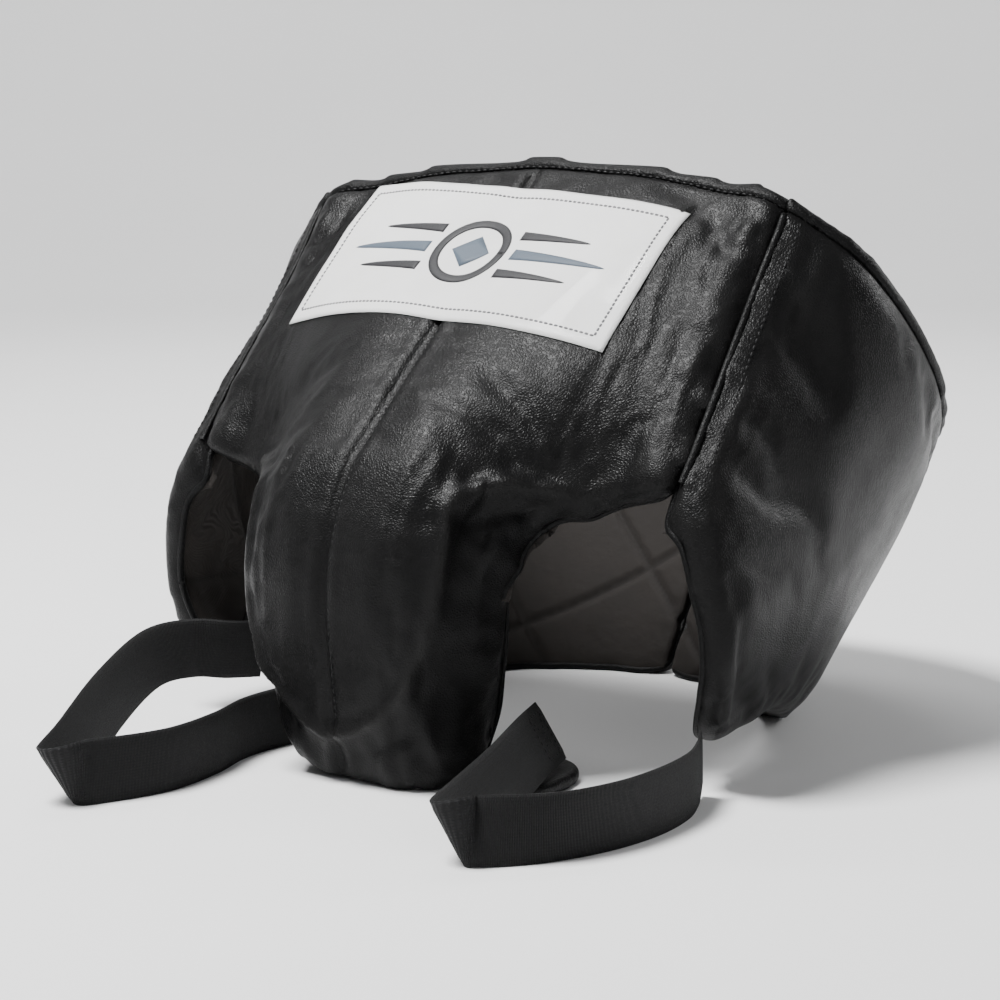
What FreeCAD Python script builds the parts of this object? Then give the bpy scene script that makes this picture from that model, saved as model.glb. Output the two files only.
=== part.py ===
"""Groin protector: a padded leather waist guard with a hard cup, two hip wings and leg straps.

Every body panel is modelled upright, as worn, in a frame with +X to the wearer's left, +Y to
the wearer's back and +Z up, and its Placement then leans it back until the cup and the rear
hem stand on the floor. The leg straps lie on that floor and are modelled there directly.
"""
import FreeCAD, Part
import math
import os
from FreeCAD import Placement, Rotation, Vector

doc = FreeCAD.newDocument("groin_protector")

# ---------------------------------------------------------------- driving sizes (mm, degrees)
SIZES = {
    "lean": 38.0,               # how far the guard leans back from upright
    "origin_back": 17.0,        # from the worn frame's origin to the middle of the footprint
    "floor_lift": 6.0,          # height of the worn frame's origin over the floor
    "leather": 1.2,             # outer leather
    "fit_gap": 0.1,             # play between a pad or trim and the leather it lies on
    "pad": 12.0,                # depth of leather plus foam
    "quilt": 1.6,               # quilted lining
    "cup_leather_foam": 9.0,    # depth of leather plus foam over the hard cup
    "cup_wall": 3.0,            # moulded cup
    "cup_cloth": 1.2,           # cloth inside the cup
    "rim_front": 217.0,         # height of the waist rim at the middle of the front
    "rim_drop": 12.0,           # the rim is this much lower above the side seams
    "rim_slope": 0.05,          # and falls this much per millimetre towards the back
    "binding_height": 8.0,
    "binding_proud": 0.8,
    "seam_x": 120.0,            # the side seams, at the waist's front corners
    "seam_y": -98.0,
    "seam_gap": 0.4,
    "welt_width": 4.5,
    "welt_proud": 1.2,
    "welt_low": 67.0,           # from just over the leg arch to just under the binding
    "welt_high": 192.0,
    "hem_facing": 1.1,          # thickness of the strips that close the pads' edges
    "back_gap": 3.0,            # between the two wings at the centre back
    "cup_top": 50.0,            # height where the belly pad ends and the cup begins
    "cup_clear": 56.5,          # half width where the leg arches start, beside the cup
    "tongue_half": 44.0,        # half width of the cup's front panel
    "tongue_end": -52.0,
    "piping": 1.4,
    "label_half": 80.0,
    "label_low": 114.0,
    "label_high": 194.0,
    "label_thick": 0.7,
    "closure_low": 122.0,       # the hook-and-loop strap across the centre back
    "closure_high": 164.0,
    "closure_sewn_from": -66.0,
    "closure_fold": -30.0,
    "closure_end": 46.0,
    "closure_tip": 60.0,
    "loop_thick": 0.9,
    "hook_thick": 0.9,
    "closure_thick": 1.6,
    "layer_gap": 0.05,
    "strap_width": 25.0,        # elastic leg straps
    "strap_thick": 1.6,
    "tab_thick": 6.0,           # folded leather tab behind the cup
}
sheet = doc.addObject("Spreadsheet::Sheet", "Sizes")
for row, (alias, number) in enumerate(SIZES.items(), start=1):
    sheet.set(f"A{row}", alias)
    sheet.set(f"B{row}", str(number))
    sheet.setAlias(f"B{row}", alias)
doc.recompute()
size = {alias: float(sheet.get(alias)) for alias in SIZES}

# ------------------------------------------------------------------------ plan of the body
# Depths of the front at these half-widths, then the points from the side seam round to the
# centre back, at each height of the worn frame. The belly swells down towards the cup.
FRONT_STATIONS = (0, 22, 42, 62, 83, 104)
BODY_PLAN = {
    236: ((-101, -101, -100, -99, -97, -94),
          ((120, -91), (137, -72), (143, -38), (142, 0), (134, 42), (108, 82), (62, 109), (0, 119))),
    160: ((-116, -115, -114, -111, -106, -101),
          ((120, -96.5), (137, -78), (143, -45), (141, -6), (132, 38), (106, 80), (62, 110), (0, 122))),
    110: ((-127, -126, -123.5, -118, -110, -103),
          ((120, -99.5), (137, -82), (143, -50), (139, -11), (128, 33), (103, 77), (61, 111), (0, 126))),
    74: ((-134.5, -134, -129.5, -119, -106, -102),
         ((120, -101), (137, -84), (143, -53), (137, -14), (124, 30), (99, 75), (60, 113), (0, 130))),
    50: ((-138.5, -138.2, -133.3, -114, -99, -99),
         ((120, -102), (137, -85), (143, -55), (135, -17), (121, 27), (96, 73), (59, 115), (0, 134))),
    -40: ((-138.5, -138.2, -133.3, -114, -99, -99),
          ((120, -102), (137, -85), (143, -55), (135, -17), (121, 27), (96, 73), (59, 115), (0, 134))),
}
PLAN_SAMPLES = 40
PLAN_START = 12                     # this sample is on the side, where the curve joins itself
# The cup at each height: depth of its front, half width, and depth where its sides run straight.
CUP_PLAN = (
    (50, -138.5, 56, -70), (36, -139, 56, -68), (12, -133.5, 55, -62), (-7, -123.5, 52, -52),
    (-27, -106, 48, -44), (-41, -92, 46, -40), (-54, -78, 43, -37), (-66, -64, 40, -35),
)
CUP_SQUARENESS = 4.3
CUP_SAMPLES = 19
FAR = 260.0


# ---------------------------------------------------------------------------- small helpers
def feature(name, shape):
    """Keep a shape that no primitive can make as an object of the document."""
    obj = doc.addObject("Part::Feature", name)
    obj.Shape = shape
    return obj


def loft(name, wires):
    """A solid through closed section wires."""
    sections = [feature(f"{name}_section_{i}", wire) for i, wire in enumerate(wires)]
    obj = doc.addObject("Part::Loft", name)
    obj.Sections = sections
    obj.Solid = True
    obj.Ruled = False
    return obj


def extrude(name, wire, direction, length):
    """A solid from a flat closed outline."""
    obj = doc.addObject("Part::Extrusion", name)
    obj.Base = feature(f"{name}_outline", wire)
    obj.Dir = direction
    obj.LengthFwd = length
    obj.Solid = True
    return obj


def block(name, low, high):
    """A box between two corners. A corner's value may be a number or a sheet expression."""
    obj = doc.addObject("Part::Box", name)
    for axis, lo, hi, side in zip("xyz", low, high, ("Length", "Width", "Height")):
        obj.setExpression(f"Placement.Base.{axis}", str(lo))
        obj.setExpression(side, f"{hi} - ({lo})")
    return obj


def cut(name, base, tool):
    obj = doc.addObject("Part::Cut", name)
    obj.Base = base
    obj.Tool = tool
    return obj


def common(name, *shapes):
    obj = doc.addObject("Part::MultiCommon", name)
    obj.Shapes = list(shapes)
    return obj


def mirror(name, source):
    """The wearer's left-hand copy of a piece built on the right."""
    obj = doc.addObject("Part::Mirroring", name)
    obj.Source = source
    obj.Base = Vector(0, 0, 0)
    obj.Normal = Vector(1, 0, 0)
    return obj


def polygon(points):
    return Part.makePolygon([*points, points[0]])


def spline_edge(points):
    curve = Part.BSplineCurve()
    curve.interpolate(points)
    return curve.toShape()


def mirrored(points):
    """The same points on the wearer's right, in reverse order, without the middle ones."""
    return [(-x, y) for x, y in reversed(points) if abs(x) > 1e-6]


# ----------------------------------------------------------------------------- body cores
def plan_curve(height):
    """The body's closed outer plan curve at one height."""
    fronts, sides = BODY_PLAN[height]
    left = [(x, y) for x, y in zip(FRONT_STATIONS, fronts)] + list(sides)
    ring = left + mirrored(left)
    start = left.index(sides[3])        # the curve's own join lies clear of every seam
    ring = ring[start:] + ring[:start]
    curve = Part.BSplineCurve()
    curve.interpolate([Vector(x, y, height) for x, y in ring], PeriodicFlag=True)
    return curve


def inset_wire(height, inset):
    """That plan curve moved inwards by inset, or outwards where it is negative."""
    curve = plan_curve(height)
    first, last = curve.FirstParameter, curve.LastParameter
    middle = curve.parameter(Vector(0, BODY_PLAN[height][0][0], height))
    points = []
    for i in range(PLAN_SAMPLES):
        # Evenly about the middle of the front, so that both halves match.
        share = (i + PLAN_START + 0.5) / PLAN_SAMPLES
        u = first + (middle - first + (last - first) * share) % (last - first)
        along = curve.tangent(u)[0]
        inward = Vector(-along.y, along.x, 0)
        points.append(curve.value(u) + inward.normalize() * inset)
    moved = Part.BSplineCurve()
    moved.interpolate(points, PeriodicFlag=True)
    return Part.Wire([moved.toShape()])


body_cores = {}


def body_core(inset):
    """Everything inside the body's surface moved inwards by inset."""
    key = round(inset, 3)
    if key not in body_cores:
        name = f"body_core_{len(body_cores)}"
        body_cores[key] = loft(name, [inset_wire(z, inset) for z in sorted(BODY_PLAN)])
    return body_cores[key]


shell_count = 0


def body_shell(outer, inner):
    """The layer of the body between two insets."""
    global shell_count
    shell_count += 1
    return cut(f"body_shell_{shell_count}", body_core(outer), body_core(inner))


# ------------------------------------------------------------------------------ cup cores
def cup_wire(level, inset, tail):
    """The cup's D-shaped plan at one level, run straight back past its sides by tail."""
    height, front, half, middle = level
    half -= inset
    depth = middle - front - inset
    points = []
    for i in range(CUP_SAMPLES):
        a = math.pi * (i / (CUP_SAMPLES - 1) - 0.5)
        radius = (abs(math.sin(a) / half) ** CUP_SQUARENESS
                  + abs(math.cos(a) / depth) ** CUP_SQUARENESS) ** (-1 / CUP_SQUARENESS)
        points.append(Vector(radius * math.sin(a), middle - radius * math.cos(a), height))
    back = [Vector(half, middle + tail, height), Vector(-half, middle + tail, height)]
    closing = [points[-1], *back, points[0]]
    lines = [Part.LineSegment(a, b).toShape() for a, b in zip(closing, closing[1:])]
    return Part.Wire([spline_edge(points), *lines])


def above_floor(name, clearance):
    """The space over the floor, in the worn frame, raised by clearance."""
    obj = doc.addObject("Part::Box", name)
    for side in ("Length", "Width", "Height"):
        setattr(obj, side, 2 * FAR)
    lean = Rotation(Vector(1, 0, 0), size["lean"])
    corner = Vector(-FAR, -FAR, clearance - size["floor_lift"])
    obj.Placement = Placement(lean.multVec(corner), lean)
    return obj


def cup_core(name, inset):
    """Everything inside the cup's surface moved inwards by inset."""
    tail = 12 + 3 * inset
    solid = loft(f"{name}_loft", [cup_wire(level, inset, tail) for level in CUP_PLAN])
    if inset < 0:
        return solid
    return common(name, solid, above_floor(f"{name}_floor", inset))


# --------------------------------------------------------------------- outlines and regions
def rim_region(name, raised):
    """Everything under the waist rim, moved up by raised."""
    drop, half = size["rim_drop"], size["seam_x"]
    middle = size["rim_front"] + raised
    edge = middle - drop * (FAR / half) ** 2
    start = -150.0
    left, top, right = Vector(-FAR, start, edge), Vector(0, start, middle), Vector(FAR, start, edge)
    floor = [right, Vector(FAR, start, -FAR), Vector(-FAR, start, -FAR), left]
    lines = [Part.LineSegment(a, b).toShape() for a, b in zip(floor, floor[1:])]
    # A parabola through the middle and both side seams, as a curve with one control point.
    arc = Part.BezierCurve()
    arc.setPoles([left, top + (top - (left + right) * 0.5), right])
    slope = Vector(0, 1, -size["rim_slope"])
    return extrude(name, Part.Wire([arc.toShape(), *lines]), slope, 2 * FAR)


def front_wedge():
    """The front's share of the waist: in front of two planes through the side seams."""
    sx, sy = size["seam_x"], size["seam_y"]
    points = [(sx + 80, sy - 80), (sx - 70, sy + 70), (70 - sx, sy + 70), (-sx - 80, sy - 80)]
    wire = polygon([Vector(x, y, -FAR) for x, y in points])
    return extrude("front_wedge", wire, Vector(0, 0, 1), 3 * FAR)


def wing_wedge():
    """The right wing's share of the waist: from its side seam round to the centre back."""
    sx, sy = size["seam_x"], size["seam_y"] + size["seam_gap"]
    gap = size["back_gap"] / 2
    points = [(sx + 80, sy - 80), (sx - 70, sy + 70), (gap, sy + 70), (gap, FAR), (FAR, FAR)]
    wire = polygon([Vector(-x, y, -FAR) for x, y in points])
    return extrude("wing_wedge", wire, Vector(0, 0, 1), 3 * FAR)


def belly_region(name, lift):
    """Above the leg arches and the cup: the front's outline, seen from the front."""
    top, clear = size["cup_top"], size["cup_clear"]
    arch = [(clear, 14), (61, 32), (70, 46), (84, 55), (104, 62), (119, 63), (150, 66)]
    left = [Vector(x, -FAR, z + lift) for x, z in arch]
    right = [Vector(-x, -FAR, z + lift) for x, z in arch]
    corners = [left[-1], Vector(150, -FAR, FAR), Vector(-150, -FAR, FAR), right[-1]]
    step = [left[0], Vector(clear, -FAR, top), Vector(-clear, -FAR, top), right[0]]
    edges = [spline_edge(left), spline_edge(right)]
    edges += [Part.LineSegment(a, b).toShape() for a, b in zip(corners, corners[1:])]
    edges += [Part.LineSegment(a, b).toShape() for a, b in zip(step, step[1:])]
    wire = Part.Wire(Part.__sortEdges__(edges))
    return extrude(name, wire, Vector(0, 1, 0), 2 * FAR)


def hem_region(name, lift):
    """Behind the leg opening and above the hem: a wing's outline, seen from the side."""
    floor_slope = math.tan(math.radians(size["lean"]))
    floor_start = -size["floor_lift"] / math.cos(math.radians(size["lean"]))

    def on_floor(y):
        return floor_start + floor_slope * y

    leg = [(-122, 92), (-101, 62), (-83, 36), (-62, 14), (-44, 1)]
    corner = [(-44, 1), (-31, -5), (-19, 0)]
    hem = [(-19, 0), (25, 36), (80, on_floor(80)), (FAR, on_floor(FAR))]
    shift = Vector(0, 0.15 * lift, 1.4 * lift)
    leg, corner, hem = ([Vector(-FAR, y, z) + shift for y, z in part] for part in (leg, corner, hem))
    edges = [spline_edge(leg), Part.Arc(*corner).toShape()]
    rest = [*hem, Vector(-FAR, FAR, 2 * FAR), Vector(-FAR, leg[0].y, 2 * FAR), leg[0]]
    edges += [Part.LineSegment(a, b).toShape() for a, b in zip(rest, rest[1:])]
    return extrude(name, Part.Wire(edges), Vector(1, 0, 0), 2 * FAR)


def crotch_region():
    """In front of the leg openings: the cup's outline, seen from the side."""
    top = size["cup_top"]
    back = [(-95, top), (-65, 2), (-45, -24), (-34, -46)]
    front = [(-34, -46), (-34, -90), (-FAR, -90), (-FAR, top), (-95, top)]
    edges = [spline_edge([Vector(-FAR, y, z) for y, z in back])]
    corners = [Vector(-FAR, y, z) for y, z in front]
    edges += [Part.LineSegment(a, b).toShape() for a, b in zip(corners, corners[1:])]
    return extrude("crotch_region", Part.Wire(edges), Vector(1, 0, 0), 2 * FAR)


def tongue_region(name, spread):
    """The cup's front panel, seen from the front, grown by spread."""
    half, low = size["tongue_half"] + spread, size["tongue_end"] - spread
    curve = [(half, 0), (half - 3, -16), (half - 12, -35), (half - 27, low + 3), (0, low)]
    points = [Vector(x, -FAR, z) for x, z in curve + mirrored(curve)]
    top = [points[-1], Vector(-half, -FAR, FAR), Vector(half, -FAR, FAR), points[0]]
    edges = [spline_edge(points)]
    edges += [Part.LineSegment(a, b).toShape() for a, b in zip(top, top[1:])]
    return extrude(name, Part.Wire(edges), Vector(0, 1, 0), FAR - 62)


under_rim = rim_region("under_rim", 0.0)
wedge = front_wedge()
belly = belly_region("belly", 0.0)
belly_inner = belly_region("belly_inner", size["hem_facing"])
hem_outer = hem_region("hem_outer", 0.0)
hem_inner = hem_region("hem_inner", size["hem_facing"])
crotch = crotch_region()
right_half = block("right_half", (-FAR, -FAR, -FAR), (0, FAR, 2 * FAR))
left_half = block("left_half", (0, -FAR, -FAR), (FAR, FAR, 2 * FAR))

# --------------------------------------------------------------------------- finished parts
parts = []
ON_FLOOR = ("leg_strap", "crotch_tab")


def finish(name, obj):
    """Name a sub-part and note where it is set down."""
    obj.Label = name
    base = Vector(0, -size["origin_back"], 0)
    turn = Rotation()
    if not name.startswith(ON_FLOOR):
        base.z = size["floor_lift"]
        turn = Rotation(Vector(1, 0, 0), -size["lean"])
    # A mirrored copy follows its source, which is already set down.
    place = Placement() if obj.TypeId == "Part::Mirroring" else Placement(base, turn)
    parts.append((name, obj, place))


def finish_pair(before, after, right):
    """Set down a piece built on the wearer's right, and its mirror image on the left."""
    names = [f"{before}{side}{after}" for side in ("left", "right")]
    finish(names[0], mirror(f"{names[0]}_mirror", right))
    finish(names[1], right)


def finish_halves(before, after, whole):
    """Set down the two halves of one piece, split at the middle."""
    for side, half in (("left", left_half), ("right", right_half)):
        name = f"{before}{side}{after}"
        finish(name, common(f"{name}_half", whole, half))


leather, pad, lined = size["leather"], size["pad"], size["pad"] + size["quilt"]
proud = size["binding_proud"]
leather_shell = body_shell(0, leather)
foam_shell = body_shell(leather + size["fit_gap"], pad)
lining_shell = body_shell(pad, lined)
whole_shell = body_shell(0, lined)
binding_shell = body_shell(-proud, lined + proud)
welt_shell = body_shell(-size["welt_proud"], 0)
label_shell = body_shell(-size["label_thick"], 0)
rim_band = cut("rim_band", rim_region("rim_over", proud),
               rim_region("rim_below", -size["binding_height"]))
rim_wrap = cut("rim_wrap", common("rim_strip", binding_shell, rim_band),
               common("rim_pads", body_shell(-size["fit_gap"], lined + size["fit_gap"]), under_rim))


def cup_layers():
    """Leather, foam, moulded shell and cloth of the cup, from the outside in."""
    foam = size["cup_leather_foam"]
    wall = foam + size["cup_wall"]
    depths = (0, leather, foam, wall, wall + size["cup_cloth"])
    cores = [cup_core(f"cup_core_{i}", depth) for i, depth in enumerate(depths)]
    names = ("leather", "foam", "shell", "cloth")
    layers = {}
    for name, outer, inner in zip(names, cores, cores[1:]):
        layers[name] = common(f"cup_layer_{name}", cut(f"cup_wall_{name}", outer, inner), crotch)
    return cores[0], layers


cup_outer, cup_layer = cup_layers()


def front_parts():
    """The belly pad and everything sewn to it."""
    belly_leather = common("belly_leather", leather_shell, wedge, under_rim, belly)
    tongue = tongue_region("tongue", 0.0)
    cup_front = common("cup_front_leather", cup_layer["leather"], tongue)
    cup_sides = cut("cup_side_leather", cup_layer["leather"], tongue)
    finish_halves("belly_leather_", "", belly_leather)
    finish_pair("cup_leather_", "", common("cup_front_half", cup_front, right_half))
    finish_pair("cup_gusset_", "", common("cup_side_half", cup_sides, right_half))
    finish("belly_foam_pad", common("belly_foam", foam_shell, wedge, under_rim, belly_inner))
    finish("belly_lining", common("belly_quilt", lining_shell, wedge, under_rim, belly_inner))
    edge = cut("arch_strip", common("arch_whole", body_shell(leather, lined), wedge, belly),
               belly_inner)
    finish_halves("leg_arch_facing_", "", edge)
    finish("belly_waist_binding", common("belly_rim_wrap", rim_wrap, wedge))
    finish("cup_foam_pad", cup_layer["foam"])
    finish("hard_cup", cup_layer["shell"])
    finish("cup_lining", cup_layer["cloth"])


def cup_piping():
    """The raised cord round the cup's front panel."""
    half = 0.5 * size["piping"] + 0.8
    band = cut("piping_band", tongue_region("piping_outer", half),
               tongue_region("piping_inner", -half))
    bead = cut("piping_skin", cup_core("piping_core", -size["piping"]), cup_outer)
    over = above_floor("piping_floor", size["floor_lift"])
    finish("cup_ridge_piping", common("piping", bead, band, crotch, over))


def side_welts():
    """A raised welt on the front's side of each side seam."""
    sx, sy, width = size["seam_x"], size["seam_y"], size["welt_width"] / math.sqrt(2)
    points = [(sx + 40, sy - 40), (sx - 10, sy + 10), (sx - 10 - width, sy + 10 - width),
              (sx + 40 - width, sy - 40 - width)]
    wire = polygon([Vector(-x, y, -FAR) for x, y in points])
    slab = extrude("welt_slab", wire, Vector(0, 0, 1), 3 * FAR)
    slabs = {"right": slab, "left": mirror("welt_slab_mirror", slab)}
    for side, low, high in (("right", -150, -80), ("left", 80, 150)):
        window = block(f"welt_window_{side}", (low, -150, "Sizes.welt_low"), (high, -50, "Sizes.welt_high"))
        name = f"side_seam_welt_{side}"
        finish(name, common(f"{name}_cut", welt_shell, slabs[side], window))


def label():
    """A plain sewn patch across the belly."""
    window = block("label_window", ("-Sizes.label_half", -FAR, "Sizes.label_low"),
                   ("Sizes.label_half", 0, "Sizes.label_high"))
    finish("label_patch", common("label", label_shell, window))


def wings():
    """The two padded wings that fold round the hips."""
    share = wing_wedge()
    layers = {"leather": leather_shell, "foam_pad": foam_shell, "lining": lining_shell}
    for name, shell in layers.items():
        finish_pair("", f"_wing_{name}", common(f"wing_{name}_cut", shell, share, under_rim, hem_inner))
    strip = cut("hem_strip", common("hem_whole", whole_shell, share, hem_outer), hem_inner)
    finish_pair("", "_wing_hem_facing", strip)
    finish_pair("", "_wing_waist_binding", common("wing_rim_wrap", rim_wrap, share))


def strap_anchors():
    """Webbing stubs sewn inside each wing's front corner, where the leg straps begin."""
    gap = size["layer_gap"]
    shell = body_shell(lined + gap, lined + gap + size["strap_thick"])
    window = block("anchor_window", (-150, -31, 6), (-80, -6, 40))
    finish_pair("strap_anchor_", "", common("anchor", shell, window, hem_inner))


def closure():
    """The hook-and-loop strap across the centre back, sewn to the right wing."""
    gap = size["layer_gap"]
    loop = size["loop_thick"]
    hook = loop + gap + size["hook_thick"]
    inner = hook + gap
    outer = inner + size["closure_thick"]
    fold = size["closure_fold"]

    def window(name, start, end, margin=0.0):
        return block(name, (start, 0, f"Sizes.closure_low + {margin}"),
                     (end, FAR, f"Sizes.closure_high - {margin}"))

    finish("loop_patch", common("loop", body_shell(-loop, -size["fit_gap"]),
                                window("loop_window", 6, "Sizes.closure_end + 6", -1)))
    finish("hook_patch", common("hook", body_shell(-hook, -loop - gap),
                                window("hook_window", 9, "Sizes.closure_end - 2", 2)))
    strap_shell = body_shell(-outer, -inner)
    finish("closure_strap", common("closure_free", strap_shell,
                                   window("closure_window", fold, "Sizes.closure_end")))
    finish("closure_pull_tab", common("closure_tip", strap_shell,
                                      window("tip_window", "Sizes.closure_end + 0.05",
                                             "Sizes.closure_tip", 4)))
    sewn = common("closure_sewn", body_shell(-outer, 0),
                  window("sewn_window", "Sizes.closure_sewn_from", fold - gap))
    finish("closure_anchor", sewn)


# ---------------------------------------------------------------------------- leg straps
def ribbon(name, stations):
    """A flat band. Each station is a point of its lower edge and the direction of its width."""
    line = Part.BSplineCurve()
    line.interpolate([Vector(*low) for low, _ in stations])
    params = [line.parameter(Vector(*low)) for low, _ in stations]
    thick, width = size["strap_thick"], size["strap_width"]
    wires = []
    for i in range(RIBBON_STEPS * (len(stations) - 1) + 1):
        span = min(i // RIBBON_STEPS, len(stations) - 2)
        part = i / RIBBON_STEPS - span
        u = params[span] * (1 - part) + params[span + 1] * part
        wide = Vector(*stations[span][1]) * (1 - part) + Vector(*stations[span + 1][1]) * part
        low, along = line.value(u), line.tangent(u)[0]
        wide = (wide - along * wide.dot(along)).normalize()
        through = along.cross(wide) * (thick / 2)
        low.z = max(low.z, 0.0) + abs(through.z) + 0.05
        high = low + wide * width
        wires.append(polygon([low - through, low + through, high + through, high - through]))
    band = loft(name, wires)
    band.Ruled = True
    return band


RIBBON_STEPS = 3
UPRIGHT = (0.0, 0.0, 1.0)
# From inside the right wing's corner, out to a fold on the floor, and back behind the cup.
RIGHT_STRAP = (
    ((-111, -13, 14), UPRIGHT),
    ((-112, -34, 17), UPRIGHT),
    ((-115, -51, 20), (-0.1, -0.1, 1.0)),
    ((-113, -75, 20), (-0.2, -0.15, 1.0)),
    ((-95, -116, 13), (-0.3, -0.2, 1.0)),
    ((-74, -154, 4), (-0.4, -0.25, 0.9)),
    ((-64, -173, 0), (-0.45, -0.3, 0.85)),
    ((-58, -176, 0), (-0.3, -0.25, 0.9)),
    ((-53, -168, 0), (-0.1, -0.1, 1.0)),
    ((-45, -142, 0), UPRIGHT),
    ((-48, -112, 0), UPRIGHT),
    ((-55.5, -87, 0), UPRIGHT),
    ((-57, -67, 0), UPRIGHT),
    ((-54.5, -51, 0), UPRIGHT),
    ((-46, -42, 0), UPRIGHT),
    ((-28, -39, 0), UPRIGHT),
    ((-10, -39.5, 0), UPRIGHT),
    ((12, -43, 0), UPRIGHT),
)
# From inside the left wing's corner, out to a fold, and back to the crotch tab's top.
LEFT_STRAP = (
    ((127, -31, 2), UPRIGHT),
    ((133, -43, 0), UPRIGHT),
    ((140, -61, 0), UPRIGHT),
    ((143, -85, 0), UPRIGHT),
    ((140, -111, 0), (0.05, 0.0, 1.0)),
    ((131, -135, 0), (0.05, 0.0, 1.0)),
    ((118, -153, 0), (-0.2, 0.0, 1.0)),
    ((111, -158, 0), (-0.5, 0.05, 0.87)),
    ((106, -152, 0), (-0.5, -0.1, 0.87)),
    ((99, -130, 1), (-0.4, -0.4, 0.83)),
    ((89, -97, 3.5), (-0.3, -0.55, 0.8)),
    ((79, -66, 6.8), (-0.22, -0.65, 0.75)),
    ((70, -39, 8), (-0.18, -0.71, 0.68)),
)
# The tab's outline on the floor, from the cup's rear edge to its rounded tip.
CROTCH_TAB = ((16, -47), (40, -34), (62, -28), (76, -38), (81, -58), (78, -78), (70, -83),
              (63, -76), (62, -58), (54, -48), (34, -47.5))


def straps():
    """Elastic leg straps, from under each wing's corner to behind the cup, and their tab."""
    finish("leg_strap_right", ribbon("strap_right_band", RIGHT_STRAP))
    finish("leg_strap_left", ribbon("strap_left_band", LEFT_STRAP))
    curve = Part.BSplineCurve()
    curve.interpolate([Vector(x, y, 0) for x, y in CROTCH_TAB], PeriodicFlag=True)
    tab = extrude("tab", Part.Wire([curve.toShape()]), Vector(0, 0, 1), size["tab_thick"])
    finish("crotch_tab", tab)


front_parts()
cup_piping()
side_welts()
label()
wings()
strap_anchors()
closure()
straps()


# ---------------------------------------------------------------------------------- output
def check_and_export():
    """Stop on any failed object or bad shape, then write one file per sub-part."""
    doc.recompute()
    bad = [obj.Name for obj in doc.Objects if {"Invalid", "Error"} & set(obj.State)]
    if bad:
        raise RuntimeError(f"failed objects: {bad}")
    for name, obj, place in parts:
        obj.Placement = place
    doc.recompute()
    bounds = FreeCAD.BoundBox()
    for name, obj, _ in parts:
        shape = obj.Shape
        if shape.isNull() or not shape.isValid() or not shape.Solids:
            raise RuntimeError(f"{name} has no valid solid")
        bounds.add(shape.BoundBox)
        print(f"{name:28s} solids {len(shape.Solids)}  {shape.Volume / 1000:8.2f} cm3")
    print(bounds)
    os.makedirs("parts", exist_ok=True)
    for name, obj, _ in parts:
        obj.Shape.exportStep(f"parts/{name}.step")


check_and_export()
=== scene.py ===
"""Looks for the groin protector: padded leather forms, quilted lining, bindings, seams and straps.

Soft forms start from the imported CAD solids, are swollen by a short cloth simulation and then get
their seams, quilting and wrinkles as real geometry. Everything is in metres, in the CAD's frame.
"""

import math

import bmesh
import bpy
import numpy as np
from mathutils import Matrix, Vector, noise
from mathutils.bvhtree import BVHTree


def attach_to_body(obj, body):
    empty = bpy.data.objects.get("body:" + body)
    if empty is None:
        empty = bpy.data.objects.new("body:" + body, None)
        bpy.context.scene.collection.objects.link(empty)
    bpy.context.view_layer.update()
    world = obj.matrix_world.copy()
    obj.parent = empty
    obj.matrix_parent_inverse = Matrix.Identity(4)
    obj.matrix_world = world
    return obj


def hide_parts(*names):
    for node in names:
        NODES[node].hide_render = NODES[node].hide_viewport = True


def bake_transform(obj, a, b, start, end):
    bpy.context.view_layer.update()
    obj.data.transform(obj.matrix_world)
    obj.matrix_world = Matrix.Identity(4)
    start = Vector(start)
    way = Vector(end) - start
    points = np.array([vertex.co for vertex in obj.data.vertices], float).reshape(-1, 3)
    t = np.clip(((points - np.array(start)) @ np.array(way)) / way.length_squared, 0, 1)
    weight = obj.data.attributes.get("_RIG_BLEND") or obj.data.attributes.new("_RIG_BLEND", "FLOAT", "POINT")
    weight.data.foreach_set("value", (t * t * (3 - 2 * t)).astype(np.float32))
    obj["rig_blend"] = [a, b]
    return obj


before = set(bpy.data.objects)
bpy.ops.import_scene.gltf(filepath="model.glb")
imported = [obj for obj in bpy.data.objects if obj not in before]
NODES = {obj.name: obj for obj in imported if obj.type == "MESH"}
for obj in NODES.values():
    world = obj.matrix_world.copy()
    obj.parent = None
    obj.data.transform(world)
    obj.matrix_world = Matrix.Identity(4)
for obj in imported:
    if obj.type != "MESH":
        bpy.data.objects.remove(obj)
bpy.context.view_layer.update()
MM = 0.001
SIDES = {"left": 1.0, "right": -1.0}

# The guard as worn leans back by LEAN to stand on the floor. Worn axes: x, back, up.
LEAN = math.radians(38)
ORIGIN_BACK = 17 * MM
FLOOR_LIFT = 6 * MM
COS, SIN = math.cos(LEAN), math.sin(LEAN)

RIM_FRONT = 217 * MM
RIM_DROP = 12 * MM
RIM_SLOPE = 0.05
SEAM_X = 120 * MM


def to_row(worn):
    """Worn coordinates (x, back, up) to the frame's, for an array or a single point."""
    p = np.atleast_2d(np.asarray(worn, float))
    y = p[:, 1] * COS + p[:, 2] * SIN - ORIGIN_BACK
    z = p[:, 2] * COS - p[:, 1] * SIN + FLOOR_LIFT
    return np.stack([p[:, 0], y, z], 1)


def to_worn(row):
    """The frame's coordinates to worn ones, for an array."""
    p = np.atleast_2d(np.asarray(row, float))
    y = p[:, 1] + ORIGIN_BACK
    z = p[:, 2] - FLOOR_LIFT
    return np.stack([p[:, 0], y * COS - z * SIN, y * SIN + z * COS], 1)


def turn_to_row(vector):
    """A worn direction as a direction of the frame."""
    x, back, up = vector
    return Vector((x, back * COS + up * SIN, up * COS - back * SIN))


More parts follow.
